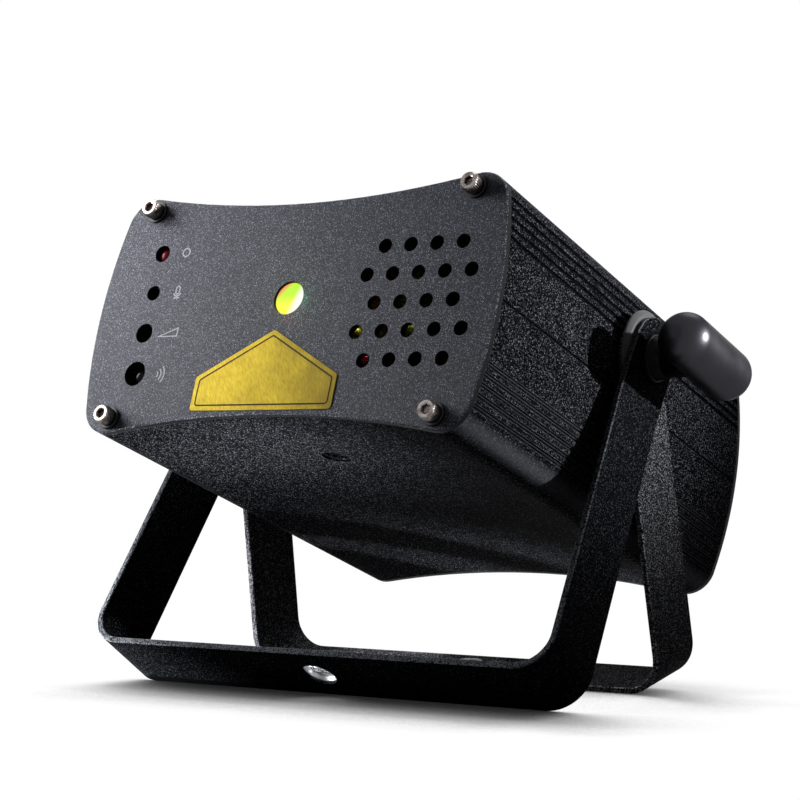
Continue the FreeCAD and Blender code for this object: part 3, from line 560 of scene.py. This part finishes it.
def painted_corner_sheen(s, chance, open_sky):
    """Painted sheen for the shells: down-facing corners and groove lips paler below the seam."""
    up = HOUSING_AXES[2]
    down = s.dot(s.normal, tuple(-up))
    corner = s.product(s.ramp(s.facing(tuple(ACROSS)), *corner_across), s.ramp(down, *corner_down))
    eased = s.add("ShaderNodeBevel", {"Radius": lip_reach}, samples=lip_samples).outputs[0]
    bend = s.dot(eased, s.add("ShaderNodeNewGeometry").outputs["Normal"])
    lip = s.product(s.ramp(bend, *lip_span), s.ramp(open_sky, *lip_sky))
    below_seam = s.math("SUBTRACT", HOUSING.translation.dot(up), s.dot(s.place, tuple(up)))
    # Painted sheen on down-facing corners and lips, below the seam only
    pale = s.total(s.product(corner, corner_sheen), s.product(lip, lip_sheen))
    pale = s.product(pale, s.ramp(below_seam, *seam_span))
    return s.product(pale, s.ramp(chance, 0.0, 1.0, sheen_least, 1.0))


def powder_coat(name, body, fleck, fleck_share, roughness, specular, grain, relief,
                wear_and_sheen=None, shade_rim_axis=None):
    """Sand-textured coat with pale flecks.

    Wear and painted sheen add flecks, and faces edge-on to the rim axis get painted shade.
    """
    s = Surface(name, Specular_IOR_Level=specular)
    first, second, middle = s.cells(grain)
    chance = s.product(s.ramp(first, 1 - fleck_share, 1), s.ramp(middle, *fleck_fade))
    sparkle = s.product(chance, s.math("POWER", second, fleck_power))
    # Painted shade: flecks fade out in grooves and hollows
    open_sky = s.open_sky(groove_shade_reach)
    sparkle = s.product(sparkle, s.ramp(open_sky, *groove_shade_span))
    fine = s.noise(grain / 2, 2.0)
    broad = s.noise(cloud_grains * grain, 3.0)
    base = s.mix(fine, *(times(body, tone) for tone in coat_tones))
    cloud = s.ramp(broad, *cloud_span, 0.0, cloud_share)
    base = s.mix(cloud, base, times(body, cloud_tone))
    # Wear and painted sheen add flecks
    if wear_and_sheen is not None:
        sparkle = s.math("MAXIMUM", sparkle, wear_and_sheen(s, first, open_sky))
    tone = s.mix(sparkle, base, fleck)
    # Painted shade on faces edge-on to the rim axis, such as the plate's rims and vent walls
    if shade_rim_axis is not None:
        tone = s.mix(s.ramp(s.facing(shade_rim_axis), *rim_shade_span), times(body, rim_shade_tone), tone)
    s.link("Base Color", tone)
    s.gloss(broad, *(roughness + swing for swing in coat_gloss))
    s.bump(s.total(s.product(fine, coat_heights[0]), s.product(middle, coat_heights[1])), relief)
    return s.material


def metal(name, tone, stain, roughness, streak=(1, 1, 1)):
    """Bare metal with fine tool marks, faint staining and painted shade in recesses."""
    s = Surface(name, Metallic=1.0)
    marks = s.noise(tool_mark, 4.0, s.vector("MULTIPLY", s.place, streak))
    clean = s.mix(s.ramp(s.noise(stain_size), *stain_span), tone, stain)
    # Painted shade: the metal darkens in recesses
    unshaded = s.ramp(s.open_sky(recess_shade_reach), *recess_shade_span)
    s.link("Base Color", s.mix(unshaded, times(stain, recess_shade_tone), clean))
    s.gloss(marks, *(roughness + swing for swing in metal_gloss))
    s.bump(marks, tool_mark_depth)
    return s.material


def moulded(name, body, roughness, specular, grain=0.35 * MM, relief=0.01 * MM, neck=False,
            **constants):
    """Moulded plastic with a faint grain and uneven gloss.

    A neck gets painted shade where the piece stands close to others.
    """
    s = Surface(name, Specular_IOR_Level=specular, **constants)
    fine = s.noise(grain)
    tone = s.mix(fine, *(times(body, tone) for tone in plastic_tones))
    if neck:
        # Painted shade: the neck darkens where other parts stand close
        clear = s.ramp(s.open_sky(neck_shade_reach, neck_shade_samples), *neck_shade_span)
        tone = s.mix(clear, times(body, neck_shade_tone), tone)
    s.link("Base Color", tone)
    broad = s.noise(plastic_cloud, 2.0)
    s.gloss(broad, *(roughness + swing for swing in plastic_gloss))
    s.bump(fine, relief)
    return s.material


def circuit_board(name):
    """Green solder mask over copper tracks, with bright pads."""
    mask_tone, track_tone = (0.005, 0.055, 0.022), (0.012, 0.12, 0.045)
    pad_tone = (0.62, 0.6, 0.56)
    track_pitch, track_depth, pad_pitch = 3.2 * MM, 0.03 * MM, 1.9 * MM
    mask_grain = 1.0 * MM
    pad_edge, pad_chance = (0.28, 0.22), (0.72, 0.75)
    s = Surface(name, Specular_IOR_Level=0.5)
    tracks = s.add("ShaderNodeTexBrick", {
        "Vector": s.place, "Scale": 1 / track_pitch, "Mortar Size": 0.06,
        "Brick Width": 0.9, "Row Height": 0.35}, offset=0.37).outputs["Fac"]
    first, _, middle = s.cells(pad_pitch)
    pads = s.product(s.ramp(middle, *pad_edge), s.ramp(first, *pad_chance))
    s.link("Base Color", s.mix(pads, s.mix(tracks, mask_tone, track_tone), pad_tone))
    s.link("Metallic", pads)
    s.gloss(s.noise(mask_grain), 0.25, 0.42)
    s.bump(tracks, track_depth)
    return s.material


def laser_window(name):
    """Window lit by the mixed beams: yellow-green, white to the right, warm at the rim."""
    green, yellow = (0.50, 0.95, 0.012), (0.98, 0.95, 0.05)
    white, orange = (1.0, 1.0, 0.93), (0.85, 0.30, 0.09)
    white_span, yellow_span, warm_span = (
        [share * window_sheen_reach for share in shares]
        for shares in ((0.30, 0.75), (0.35, -0.35), (0.75, 1.15)))
    tilt = -0.35
    ripple_size, ripple_depth = 1.6 * MM, 0.8 * MM
    wave_size, wave_depth = 0.8 * MM, 0.004 * MM
    s = Surface(name, Base_Color=colour((0.02, 0.03, 0.01)), Roughness=0.08, Emission_Strength=1.0)
    middle = FRONT @ Vector((0, aperture_height * MM, 0))
    local = s.vector("SUBTRACT", s.place, tuple(middle))
    right, up = (s.dot(local, tuple(FRONT.to_3x3().col[k])) for k in range(2))
    across = s.total(right, s.product(up, tilt))
    ripple = s.product(s.noise(ripple_size), ripple_depth)
    whiter = s.ramp(s.total(across, ripple), *white_span)
    yellower = s.ramp(s.total(up, ripple), *yellow_span)
    warmer = s.ramp(s.math("SUBTRACT", up, right), *warm_span)
    core = s.mix(whiter, s.mix(yellower, green, yellow), white)
    s.link("Emission Color", s.mix(warmer, core, orange))
    s.bump(s.noise(wave_size), wave_depth)
    return s.material


def gold_foil(name):
    """Brushed gold foil with slanting streaks, and painted shade that darkens it to the right."""
    streak_tones = (0.345, 0.249, 0.014), (0.545, 0.402, 0.027)
    dark_tone = (0.145, 0.105, 0.014)
    streak_turn = (0.0, math.radians(28), 0.0)
    streak_stretch = (1.0, 1.0, 0.06)
    streak_size, streak_depth = 0.5 * MM, 0.01 * MM
    cloud_size, cloud_range, most_cloud = 9 * MM, (0.45, 1.25), 0.85
    shade_range, shade_shift = (-8 * MM, 24 * MM), 0.7
    s = Surface(name, Metallic=0.10, Specular_IOR_Level=0.03)
    slant = s.add("ShaderNodeMapping", {"Vector": s.place, "Rotation": streak_turn}).outputs[0]
    streaks = s.noise(streak_size, 4.0, s.vector("MULTIPLY", slant, streak_stretch))
    across = s.dot(s.place, tuple(HOUSING_AXES[0]))
    # Painted shade: the foil darkens towards the right
    shade_to_right = s.ramp(across, *shade_range, 0.0, shade_shift)
    cloud = s.total(s.noise(cloud_size, 2.0), shade_to_right)
    base = s.mix(s.ramp(streaks, *noise_span), *streak_tones)
    s.link("Base Color", s.mix(s.ramp(cloud, *cloud_range, 0.0, most_cloud), base, dark_tone))
    s.gloss(streaks, 0.28, 0.46)
    s.bump(streaks, streak_depth)
    return s.material


def print_ink(name, tone):
    """Screen-printed ink, a little uneven over the coat's grain."""
    grain_size, grain_depth, grain_span = 0.3 * MM, 0.01 * MM, (0.35, 0.7)
    thick, thin = times(tone, 1.1), times(tone, 0.6)
    s = Surface(name, Specular_IOR_Level=0.03)
    grain = s.noise(grain_size)
    s.link("Base Color", s.mix(s.ramp(grain, *grain_span), thick, thin))
    s.gloss(grain, 0.5, 0.65)
    s.bump(grain, grain_depth)
    return s.material


def lamp_epoxy(name, tint, glow, strength):
    """Tinted lamp lens with a lit heart."""
    swirl_size, heart_span = 1.2 * MM, (0.4, 0.7)
    wave_size, wave_depth = 0.6 * MM, 0.005 * MM
    dim_tint, dim_glow = times(tint, 0.6), times(glow, 0.3)
    s = Surface(name, Roughness=0.16, Specular_IOR_Level=0.06, Emission_Strength=strength)
    swirl = s.noise(swirl_size, 2.0)
    s.link("Base Color", s.mix(swirl, dim_tint, tint))
    s.link("Emission Color", s.mix(s.ramp(swirl, *heart_span), dim_glow, glow))
    s.bump(s.noise(wave_size), wave_depth)
    return s.material


def clear_film(name):
    """Clear grating film with a faint rainbow of fine rulings."""
    ruling, ruling_depth = 4 * MM, 0.003 * MM
    pale_green, pale_pink = (0.85, 0.95, 0.9), (0.95, 0.85, 0.95)
    s = Surface(name, Transmission_Weight=0.85, Roughness=0.1, IOR=1.45)
    bands = s.add("ShaderNodeTexWave", {"Vector": s.place, "Scale": 1 / ruling, "Distortion": 1.5})
    bands = bands.outputs["Fac"]
    s.link("Base Color", s.mix(bands, pale_green, pale_pink))
    s.bump(bands, ruling_depth)
    return s.material


def strap_edge_axis(hole):
    """Across the strap's width, square to its bored base and to the pivot axis."""
    return tuple(Vector(mounts[hole]["axis"]).cross(ACROSS).normalized())


PLATE_AXIS = tuple(HOUSING_AXES[1])
FRONT_EDGE = strap_edge_axis("front_bracket_hole")
REAR_EDGE = strap_edge_axis("rear_bracket_hole")
COAT = dict(body=(0.0024, 0.0027, 0.0034), fleck=(0.37, 0.38, 0.435), fleck_share=0.60,
            roughness=0.42, specular=0.0004, grain=0.34 * MM, relief=0.08 * MM)
PLATE_COAT = dict(body=(0.0285, 0.0301, 0.0392), fleck=(0.50, 0.516, 0.61), fleck_share=0.80,
                  roughness=0.42, specular=0.04, grain=0.25 * MM, relief=0.07 * MM)
# Painted light: the front strap's coat is a shaded copy of the shell's coat with dimmer flecks, and the rear
# strap's coat a lit copy with a paler body and more, paler flecks
FRONT_COAT_SHADED = dict(COAT, fleck=(0.155, 0.162, 0.182))
REAR_COAT_LIT = dict(COAT, body=(0.0090, 0.0093, 0.0105), fleck=(0.68, 0.69, 0.755), fleck_share=0.90)

# Materials by the CAD nodes' slots
MATERIALS = {
    "shell_coat": powder_coat("shell_coat_black", wear_and_sheen=painted_corner_sheen, **COAT),
    "plate_coat": powder_coat("plate_coat_charcoal", wear_and_sheen=edge_wear_and_highlight(PLATE_AXIS, 0.2),
                              shade_rim_axis=PLATE_AXIS, **PLATE_COAT),
    "bright_steel": metal("steel_bright", (0.22, 0.195, 0.187), (0.09, 0.066, 0.060), 0.28),
    "dark_steel": metal("steel_blacked", (0.016, 0.016, 0.017), (0.026, 0.024, 0.022), 0.45),
    "knob_plastic": moulded("plastic_knob", (0.029, 0.029, 0.033), 0.35, 0.5, neck=True,
                            Metallic=1.0, Specular_Tint=(0.5, 0.5, 0.5, 1.0)),
    "black_plastic": moulded("plastic_black", (0.010, 0.010, 0.0115), 0.45, 0.16),
    "gloss_plastic": moulded("plastic_gloss", (0.012, 0.012, 0.013), 0.18, 0.5,
                             relief=0.003 * MM),
    "led_red": lamp_epoxy("lamp_red", (0.07, 0.002, 0.007), (0.30, 0.003, 0.02), 0.10),
    "pot_blue": moulded("plastic_blue", (0.02, 0.07, 0.30), 0.38, 0.45),
    "pot_white": moulded("plastic_white", (0.62, 0.62, 0.58), 0.42, 0.45),
    "circuit_board": circuit_board("board_green"),
    "board_part_coat": moulded("part_sleeve", (0.03, 0.035, 0.06), 0.34, 0.5),
    "aluminium": metal("aluminium_brushed", (0.70, 0.71, 0.72), (0.58, 0.59, 0.60), 0.34,
                       (1, 0.08, 1)),
    "brass": metal("brass_turned", (0.72, 0.52, 0.22), (0.58, 0.40, 0.16), 0.28, (1, 1, 0.2)),
    "motor_steel": metal("steel_zinc", (0.55, 0.56, 0.56), (0.45, 0.46, 0.47), 0.36),
    "window_glass": laser_window("window_lit"),
    "film_clear": clear_film("film_ruled"),
    "mirror_coat": metal("mirror_silver", (0.85, 0.86, 0.88), (0.78, 0.80, 0.84), 0.10),
}

# Materials of single nodes and of the scene's own pieces
# Painted shade on the front strap's coat and painted light on the rear strap's coat
FRONT_STRAP_SHADED = powder_coat("strap_coat_front", wear_and_sheen=edge_wear_and_highlight(FRONT_EDGE, 0.9, 0.5), **FRONT_COAT_SHADED)
REAR_STRAP_LIT = powder_coat("strap_coat_rear", wear_and_sheen=edge_wear_and_highlight(REAR_EDGE, 0.5, 0.2), **REAR_COAT_LIT)
FELT = moulded("felt_black", (0.004, 0.004, 0.0045), 0.9, 0.0, grain=0.15 * MM, relief=0.05 * MM)
INFRARED = moulded("epoxy_infrared", (0.004, 0.003, 0.004), 0.12, 0.06, relief=0.002 * MM)
# Painted shade: the volume spindle's plastic is darker than the other black plastic, to stay dark in its hole
SHADED_SHAFT = moulded("plastic_shaft", (0.003, 0.003, 0.0034), 0.6, 0.01)
FIBRE = moulded("fibre_washer", (0.060, 0.060, 0.063), 0.6, 0.10, grain=0.2 * MM, relief=0.02 * MM)
# Painted shade: the inner aluminium parts are darkened to stay dark inside the housing
SHADED_ALUMINIUM = metal("aluminium_black", (0.012, 0.012, 0.013), (0.009, 0.009, 0.010), 0.5)
OILED = metal("steel_oiled", (0.022, 0.022, 0.023), (0.014, 0.0135, 0.013), 0.42)
# Painted shade: the clamp washers' steel is darkened to stay dark under the knob
SHADED_STEEL = metal("steel_dull", (0.007, 0.007, 0.0075), (0.005, 0.005, 0.0055), 0.6)
BARE_RIM = metal("steel_bare", (0.42, 0.43, 0.44), (0.22, 0.225, 0.23), 0.34)
FOIL = gold_foil("foil_gold")
FOIL_INK = print_ink("ink_dark", (0.035, 0.026, 0.012))
PALE_INK = print_ink("ink_pale", (0.30, 0.31, 0.33))

OWN_MATERIALS = {
    "front_bracket": FRONT_STRAP_SHADED, "rear_bracket": REAR_STRAP_LIT,
    "infrared_receiver": INFRARED, "mic_capsule": FELT, "volume_spindle": SHADED_SHAFT,
    "ear_washers": FIBRE, "pivot_washers": FIBRE,
    "right_clamp_washer": SHADED_STEEL, "left_clamp_washer": SHADED_STEEL,
    "front_spring_washers": OILED, "rear_spring_washers": OILED,
    "red_laser_clamp": SHADED_ALUMINIUM, "green_laser_clamp": SHADED_ALUMINIUM,
    "combiner_holder": SHADED_ALUMINIUM, "motor_bracket": SHADED_ALUMINIUM,
}
for name, node in nodes.items():
    slot = node.material_slots[0].material.name.split(".")[0]
    node.material_slots[0].material = OWN_MATERIALS.get(name) or MATERIALS[slot]

# Broken edges on small hardware, by their width in millimetres
EDGE_BREAKS = {
    0.12: ("front_flat_washers", "rear_flat_washers", "front_spring_washers",
           "rear_spring_washers", "right_clamp_washer", "left_clamp_washer", "ear_washers",
           "pivot_washers", "dc_jack_nut"),
    0.25: ("rocker_housing", "dc_jack", "fan_frame", "power_rocker"),
}
for width, names in EDGE_BREAKS.items():
    for name in names:
        weld = nodes[name].modifiers.new("weld", "WELD")
        weld.merge_threshold = weld_gap
        bevel = nodes[name].modifiers.new("bevel", "BEVEL")
        bevel.width = width * MM
        bevel.segments = edge_segments
        bevel.limit_method = "ANGLE"
        bevel.angle_limit = math.radians(edge_limit)
        bevel.harden_normals = True


# Gold plate on the front
def gold_outline(inset):
    """Gable shape of the plate, drawn in by an inset, with its corners rounded."""
    half = gold_half_width - inset
    slope = math.atan2(gold_apex - gold_shoulder, gold_half_width)
    drop = inset / math.cos(slope)
    apex = gold_apex - drop
    shoulder = gold_shoulder - drop + inset * math.tan(slope)
    bottom = gold_bottom + inset
    points = ((half, bottom), (half, shoulder), (0, apex), (-half, shoulder), (-half, bottom))
    return rounded([(gold_middle + x, z) for x, z in points], gold_corner)


plate_mesh = bmesh.new()
add_prism(plate_mesh, gold_outline(0), 0, gold_thickness)
finished(placed("gold_plate", plate_mesh, FRONT), FOIL, "housing")
border_mesh = bmesh.new()
add_stroke(border_mesh, gold_outline(border_inset), border_width,
           gold_thickness, gold_thickness + print_thickness, closed=True)
finished(placed("gold_plate_border", border_mesh, FRONT), FOIL_INK, "housing")


# Printed control marks beside the control holes
def printed(name, control, strokes):
    """Mark at a control's height, from strokes in mark heights, each open or closed."""
    low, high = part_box(control)
    height = (FRONT.inverted() @ ((low + high) / 2)).y / MM
    mesh = bmesh.new()
    for points, closed in strokes:
        moved = [(mark_x + x * mark_height, height + z * mark_height) for x, z in points]
        add_stroke(mesh, moved, mark_line, 0, print_thickness, closed)
    finished(placed(name, mesh, FRONT), PALE_INK, "housing")


capsule = arc_points((0, 0.2), 0.16, 0, 180) + arc_points((0, -0.05), 0.16, 180, 360)
cradle = arc_points((0, -0.02), 0.34, 200, 340)
stem = [(0, -0.36), (0, -0.5)]
foot = [(-0.25, -0.5), (0.25, -0.5)]
wedge = [(-0.8, -0.3), (0.8, -0.3), (0.8, 0.3)]
waves = [arc_points((-0.4, 0), reach, -42, 42) for reach in (0.3, 0.58, 0.86)]
printed("lamp_mark", "status_led", [(arc_points((0, 0), 0.3, 0, 345, 24), True)])
printed("microphone_mark", "mic_capsule",
        [(capsule, True), (cradle, False), (stem, False), (foot, False)])
printed("level_mark", "volume_spindle", [(wedge, True)])
printed("infrared_mark", "infrared_receiver", [(wave, False) for wave in waves])


# Tripod socket with its thread
def thread_cut(phase):
    """How deep the thread is cut at a share of its pitch, from 0 on the crest to 1 at the root."""
    return min(1, max(0, 1.5 - abs(4 * phase - 2)))


def threaded_socket():
    """Flanged insert whose bore carries a helical thread between its crest and its root."""
    mount = mounts["tripod_socket"]
    low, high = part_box("tripod_socket")
    crest = mount["dims"]["r_mm"]
    length = mount["dims"]["length_mm"]
    flange = (high.x - low.x) / 2 / MM
    outer = crest + thread_depth + thread_wall
    rise_count = int(length / thread_pitch * thread_rises)
    turns = full_turn(thread_steps)
    mesh = bmesh.new()
    rows = []
    for j in range(rise_count + 1):
        depth = length * j / rise_count
        phases = [(depth / thread_pitch + k / thread_steps) % 1 for k in range(thread_steps)]
        reaches = [crest + thread_depth * thread_cut(phase) for phase in phases]
        rows.append(add_rows(mesh, ring_points(reaches, turns, -depth)))
    outside = ((outer, -length), (outer, -thread_flange), (flange, -thread_flange), (flange, 0))
    for radius, height in outside:
        rows.append(add_rows(mesh, ring_points([radius] * thread_steps, turns, height)))
    for first, second in zip(rows, rows[1:] + rows[:1]):
        for k in range(thread_steps):
            after = (k + 1) % thread_steps
            mesh.faces.new((first[k], first[after], second[after], second[k]))
    return placed("tripod_thread", mesh, along(mount["pos_m"], mount["axis"]))


socket = finished(threaded_socket(), MATERIALS["bright_steel"], "housing")
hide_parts("tripod_socket")


# Bare rims of the base holes
def hole_rim(name, hole, body):
    """Thin sleeve in a base hole, flared into the edge break at both ends."""
    mount = mounts[hole]
    radius = mount["dims"]["r_mm"]
    end = -mount["dims"]["length_mm"]
    flare = radius + rim_width
    bore = radius - rim_proud
    mesh = bmesh.new()
    add_lathe(mesh, [(radius, rim_lap), (flare, rim_lap), (flare, 0.0), (radius, -rim_slope),
                     (radius, end + rim_slope), (flare, end), (flare, end - rim_lap),
                     (radius, end - rim_lap), (bore, end + rim_lip), (bore, -rim_lip)])
    ring = placed(name, mesh, along(mount["pos_m"], mount["axis"]))
    finished(ring, BARE_RIM, body)


hole_rim("front_hole_rim", "front_bracket_hole", "front_bracket")
hole_rim("rear_hole_rim", "rear_bracket_hole", "rear_bracket")


# Screws, each set replacing its plain solids
def screw_places(node, face, head):
    """Middles of four screws at the corners of a rectangle, on a face of the housing."""
    points = [face.inverted() @ v.co for v in nodes[node].data.vertices]
    left, right = (f(p.x for p in points) / MM for f in (min, max))
    bottom, top = (f(p.y for p in points) / MM for f in (min, max))
    return [(x, y) for x in (left + head, right - head) for y in (bottom + head, top - head)]


def add_screw(target, profile, steps, x, y):
    """Turned screw standing at x, y."""
    screw = bmesh.new()
    add_lathe(screw, profile, steps, closed=False)
    screw.transform(Matrix.Translation((x, y, 0)))
    joined(target, screw)


def knurl(turn):
    """Radius of the knurled head."""
    return cap_radius - knurl_depth * abs((turn * knurl_count / math.pi) % 2 - 1)


def key_wall(turn):
    """Radius of the hexagonal key hole."""
    aside = (turn + math.pi / 6) % (math.pi / 3) - math.pi / 6
    return key_flats / 2 / math.cos(aside)


def cap_screws(name, node, face):
    """Knurled socket-head screws on their washers."""
    top = cap_seat + cap_height
    groove = cap_radius - knurl_depth
    profile = [
        (0, -cap_shank_length), (cap_shank_radius, -cap_shank_length),
        (cap_shank_radius, cap_seat), (groove, cap_seat), (knurl, cap_seat + knurl_land / 2),
        (knurl, top - cap_chamfer - knurl_land), (groove, top - cap_chamfer),
        (cap_radius - cap_chamfer, top), (key_mouth, top), (key_wall, top - key_mouth_depth),
        (key_wall, top - key_depth), (0, top - key_depth - key_point),
    ]
    mesh = bmesh.new()
    for x, y in screw_places(node, face, cap_radius):
        add_screw(mesh, profile, knurl_steps * knurl_count, x, y)
    steel = MATERIALS["bright_steel"]
    piece = finished(placed(name, mesh, face), steel, "housing")
    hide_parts(node)


cap_screws("front_cap_screws", "front_screws", FRONT)
cap_screws("rear_cap_screws", "rear_screws", BACK)


def cross_outline():
    """Cross of even arms, from three corners for each arm."""
    half = recess_width / 2
    corners = ((recess_reach, -half), (recess_reach, half), (half, half))
    turns = [Matrix.Rotation(quarter * math.pi / 2, 2) for quarter in range(4)]
    return [turn @ Vector(corner) for turn in turns for corner in corners]


def fan_screws():
    """Crowned screws with cross recesses."""
    crown = [(fan_screw_head, 0), (fan_screw_head, fan_screw_rim * fan_screw_head_height)]
    for turn in map(math.radians, crown_turns):
        rise = fan_screw_rim + (1 - fan_screw_rim) * math.sin(turn)
        crown.append((fan_screw_head * math.cos(turn), fan_screw_head_height * rise))
    profile = [(0, -fan_screw_length), (fan_screw_radius, -fan_screw_length),
               (fan_screw_radius, 0), *crown, (0, fan_screw_head_height)]
    floor_z = fan_screw_head_height - recess_depth
    heads = bmesh.new()
    recesses = bmesh.new()
    for x, y in screw_places("fan_screws", BACK, fan_screw_head):
        add_screw(heads, profile, fan_screw_steps, x, y)
        outline = [(x + p.x, y + p.y) for p in cross_outline()]
        add_prism(recesses, outline, floor_z, 2 * fan_screw_head_height)
    target = placed("fan_screws_cross", heads, BACK)
    return cut_by(target, placed("recess", recesses, BACK))


screws = finished(fan_screws(), MATERIALS["dark_steel"], "housing")
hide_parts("fan_screws")

# Inlet contact pin
inlet = mounts["dc_inlet"]
pin_mesh = bmesh.new()
add_lathe(pin_mesh, pin_profile, pin_steps, closed=False)
finished(placed("inlet_pin", pin_mesh, along(inlet["pos_m"], inlet["axis"])),
         MATERIALS["bright_steel"], "housing")


# Floor, world, lamps and camera
def seen_rays(tree):
    """1 for rays that show the background to the eye, in a mirror or through glass."""
    path = tree.nodes.new("ShaderNodeLightPath")
    seen = path.outputs["Is Camera Ray"]
    for name in ("Is Glossy Ray", "Is Transmission Ray"):
        most = tree.nodes.new("ShaderNodeMath")
        most.operation = "MAXIMUM"
        tree.links.new(seen, most.inputs[0])
        tree.links.new(path.outputs[name], most.inputs[1])
        seen = most.outputs[0]
    return seen


def pale_floor():
    """White floor that keeps the part's shadow."""
    mesh = bmesh.new()
    bmesh.ops.create_grid(mesh, x_segments=floor_segments, y_segments=floor_segments,
                          size=floor_half)
    data = bpy.data.meshes.new("floor")
    mesh.to_mesh(data)
    mesh.free()
    floor = linked("floor", data)
    s = Surface("floor_white", Roughness=1.0, Specular_IOR_Level=0.0, Emission_Color=WHITE)
    seen = seen_rays(s.tree)
    s.link("Base Color", s.mix(seen, (floor_bounce,) * 3, (floor_pale,) * 3))
    sides = []
    for lean in contact_leans:
        normal = s.add("ShaderNodeCombineXYZ", dict(enumerate(lean))).outputs[0]
        sides.append(s.open_sky(contact_reach, contact_samples, Normal=normal))
    shade = s.math("POWER", s.math("MAXIMUM", *sides), contact_depth)
    s.link("Emission Strength", s.product(s.product(seen, floor_glow), shade))
    data.materials.append(s.material)


def white_world():
    """White where it is seen, and a low even light on the part."""
    world = bpy.data.worlds.new("studio")
    bpy.context.scene.world = world
    world.use_nodes = True
    tree = world.node_tree
    background = tree.nodes["Background"]
    background.inputs["Color"].default_value = WHITE
    level = tree.nodes.new("ShaderNodeMapRange")
    tree.links.new(seen_rays(tree), level.inputs[0])
    level.inputs[3].default_value = world_level
    level.inputs[4].default_value = 1.0
    tree.links.new(level.outputs[0], background.inputs["Strength"])


def lamp(name, kind, place, aim, energy, **settings):
    """Lamp at a place, turned to its aim."""
    data = bpy.data.lights.new(name, kind)
    data.energy = energy
    for key, value in settings.items():
        setattr(data, key, value)
    obj = linked(name, data)
    obj.location = place
    obj.rotation_euler = (Vector(aim) - Vector(place)).to_track_quat("-Z", "Y").to_euler()
    return obj


def spot(name, place, aim, power, radius, spread):
    """Spot lamp that fades out to its edge."""
    return lamp(name, "SPOT", place, aim, power, shadow_soft_size=radius,
                spot_size=math.radians(spread), spot_blend=1.0)


def panel(name, place, aim, power, size, **settings):
    """Rectangular lamp."""
    return lamp(name, "AREA", place, aim, power, shape="RECTANGLE",
                size=size[0], size_y=size[1], **settings)


def studio_light():
    """Soft light on every side, and the glow of the beams."""
    face = FRONT.translation
    lamp("top_sun", "SUN", sun_from, ORIGIN, sun_energy, angle=math.radians(sun_angle))
    panel("left_softbox", left_from, face, left_power, left_size)
    key_place = Vector(key_aim) + Vector(key_from).normalized() * key_distance
    spot("right_key", key_place, key_aim, key_power, key_radius, key_spread)
    knob_middle = sum(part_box("right_knob"), ORIGIN) / 2
    gloss = spot("knob_gloss", key_place, knob_middle, gloss_power, key_radius, gloss_spread)
    gloss.visible_diffuse = False
    spot("left_rim", rim_from, rim_aim, rim_power, rim_radius, rim_spread)
    fill = lamp("rear_fill", "AREA", rear_from, BACK.translation, rear_power, size=rear_size)
    fill.visible_glossy = False
    under = panel("under_strip", in_housing(under_from), in_housing(under_aim), under_power,
                  under_size, spread=math.radians(under_spread))
    under.visible_glossy = False
    under.visible_camera = False
    mouth = FRONT @ Vector((0, aperture_height * MM, beam_glow_proud))
    lamp("beam_glow", "POINT", mouth, face, beam_glow_power,
         shadow_soft_size=beam_glow_radius, color=beam_glow_tint)
    for number, (place, tint, power) in enumerate(spills):
        lamp(f"spill_{number}", "POINT", in_housing(place), face, power,
             shadow_soft_size=spill_radius, color=tint)


def photo_camera():
    """Camera where the photograph was taken."""
    data = bpy.data.cameras.new("camera")
    data.lens = camera_lens
    data.sensor_width = camera_sensor
    data.clip_start = camera_nearest
    camera = linked("camera", data)
    turn = Matrix.Rotation(math.radians(camera_heading), 4, "Z")
    turn = turn @ Matrix.Rotation(math.radians(90 + camera_rise), 4, "X")
    turn = turn @ Matrix.Rotation(math.radians(camera_roll), 4, "Z")
    camera.matrix_world = Matrix.Translation(camera_place) @ turn
    bpy.context.scene.camera = camera


pale_floor()
white_world()
studio_light()
photo_camera()
bpy.context.scene.view_settings.view_transform = "Standard"
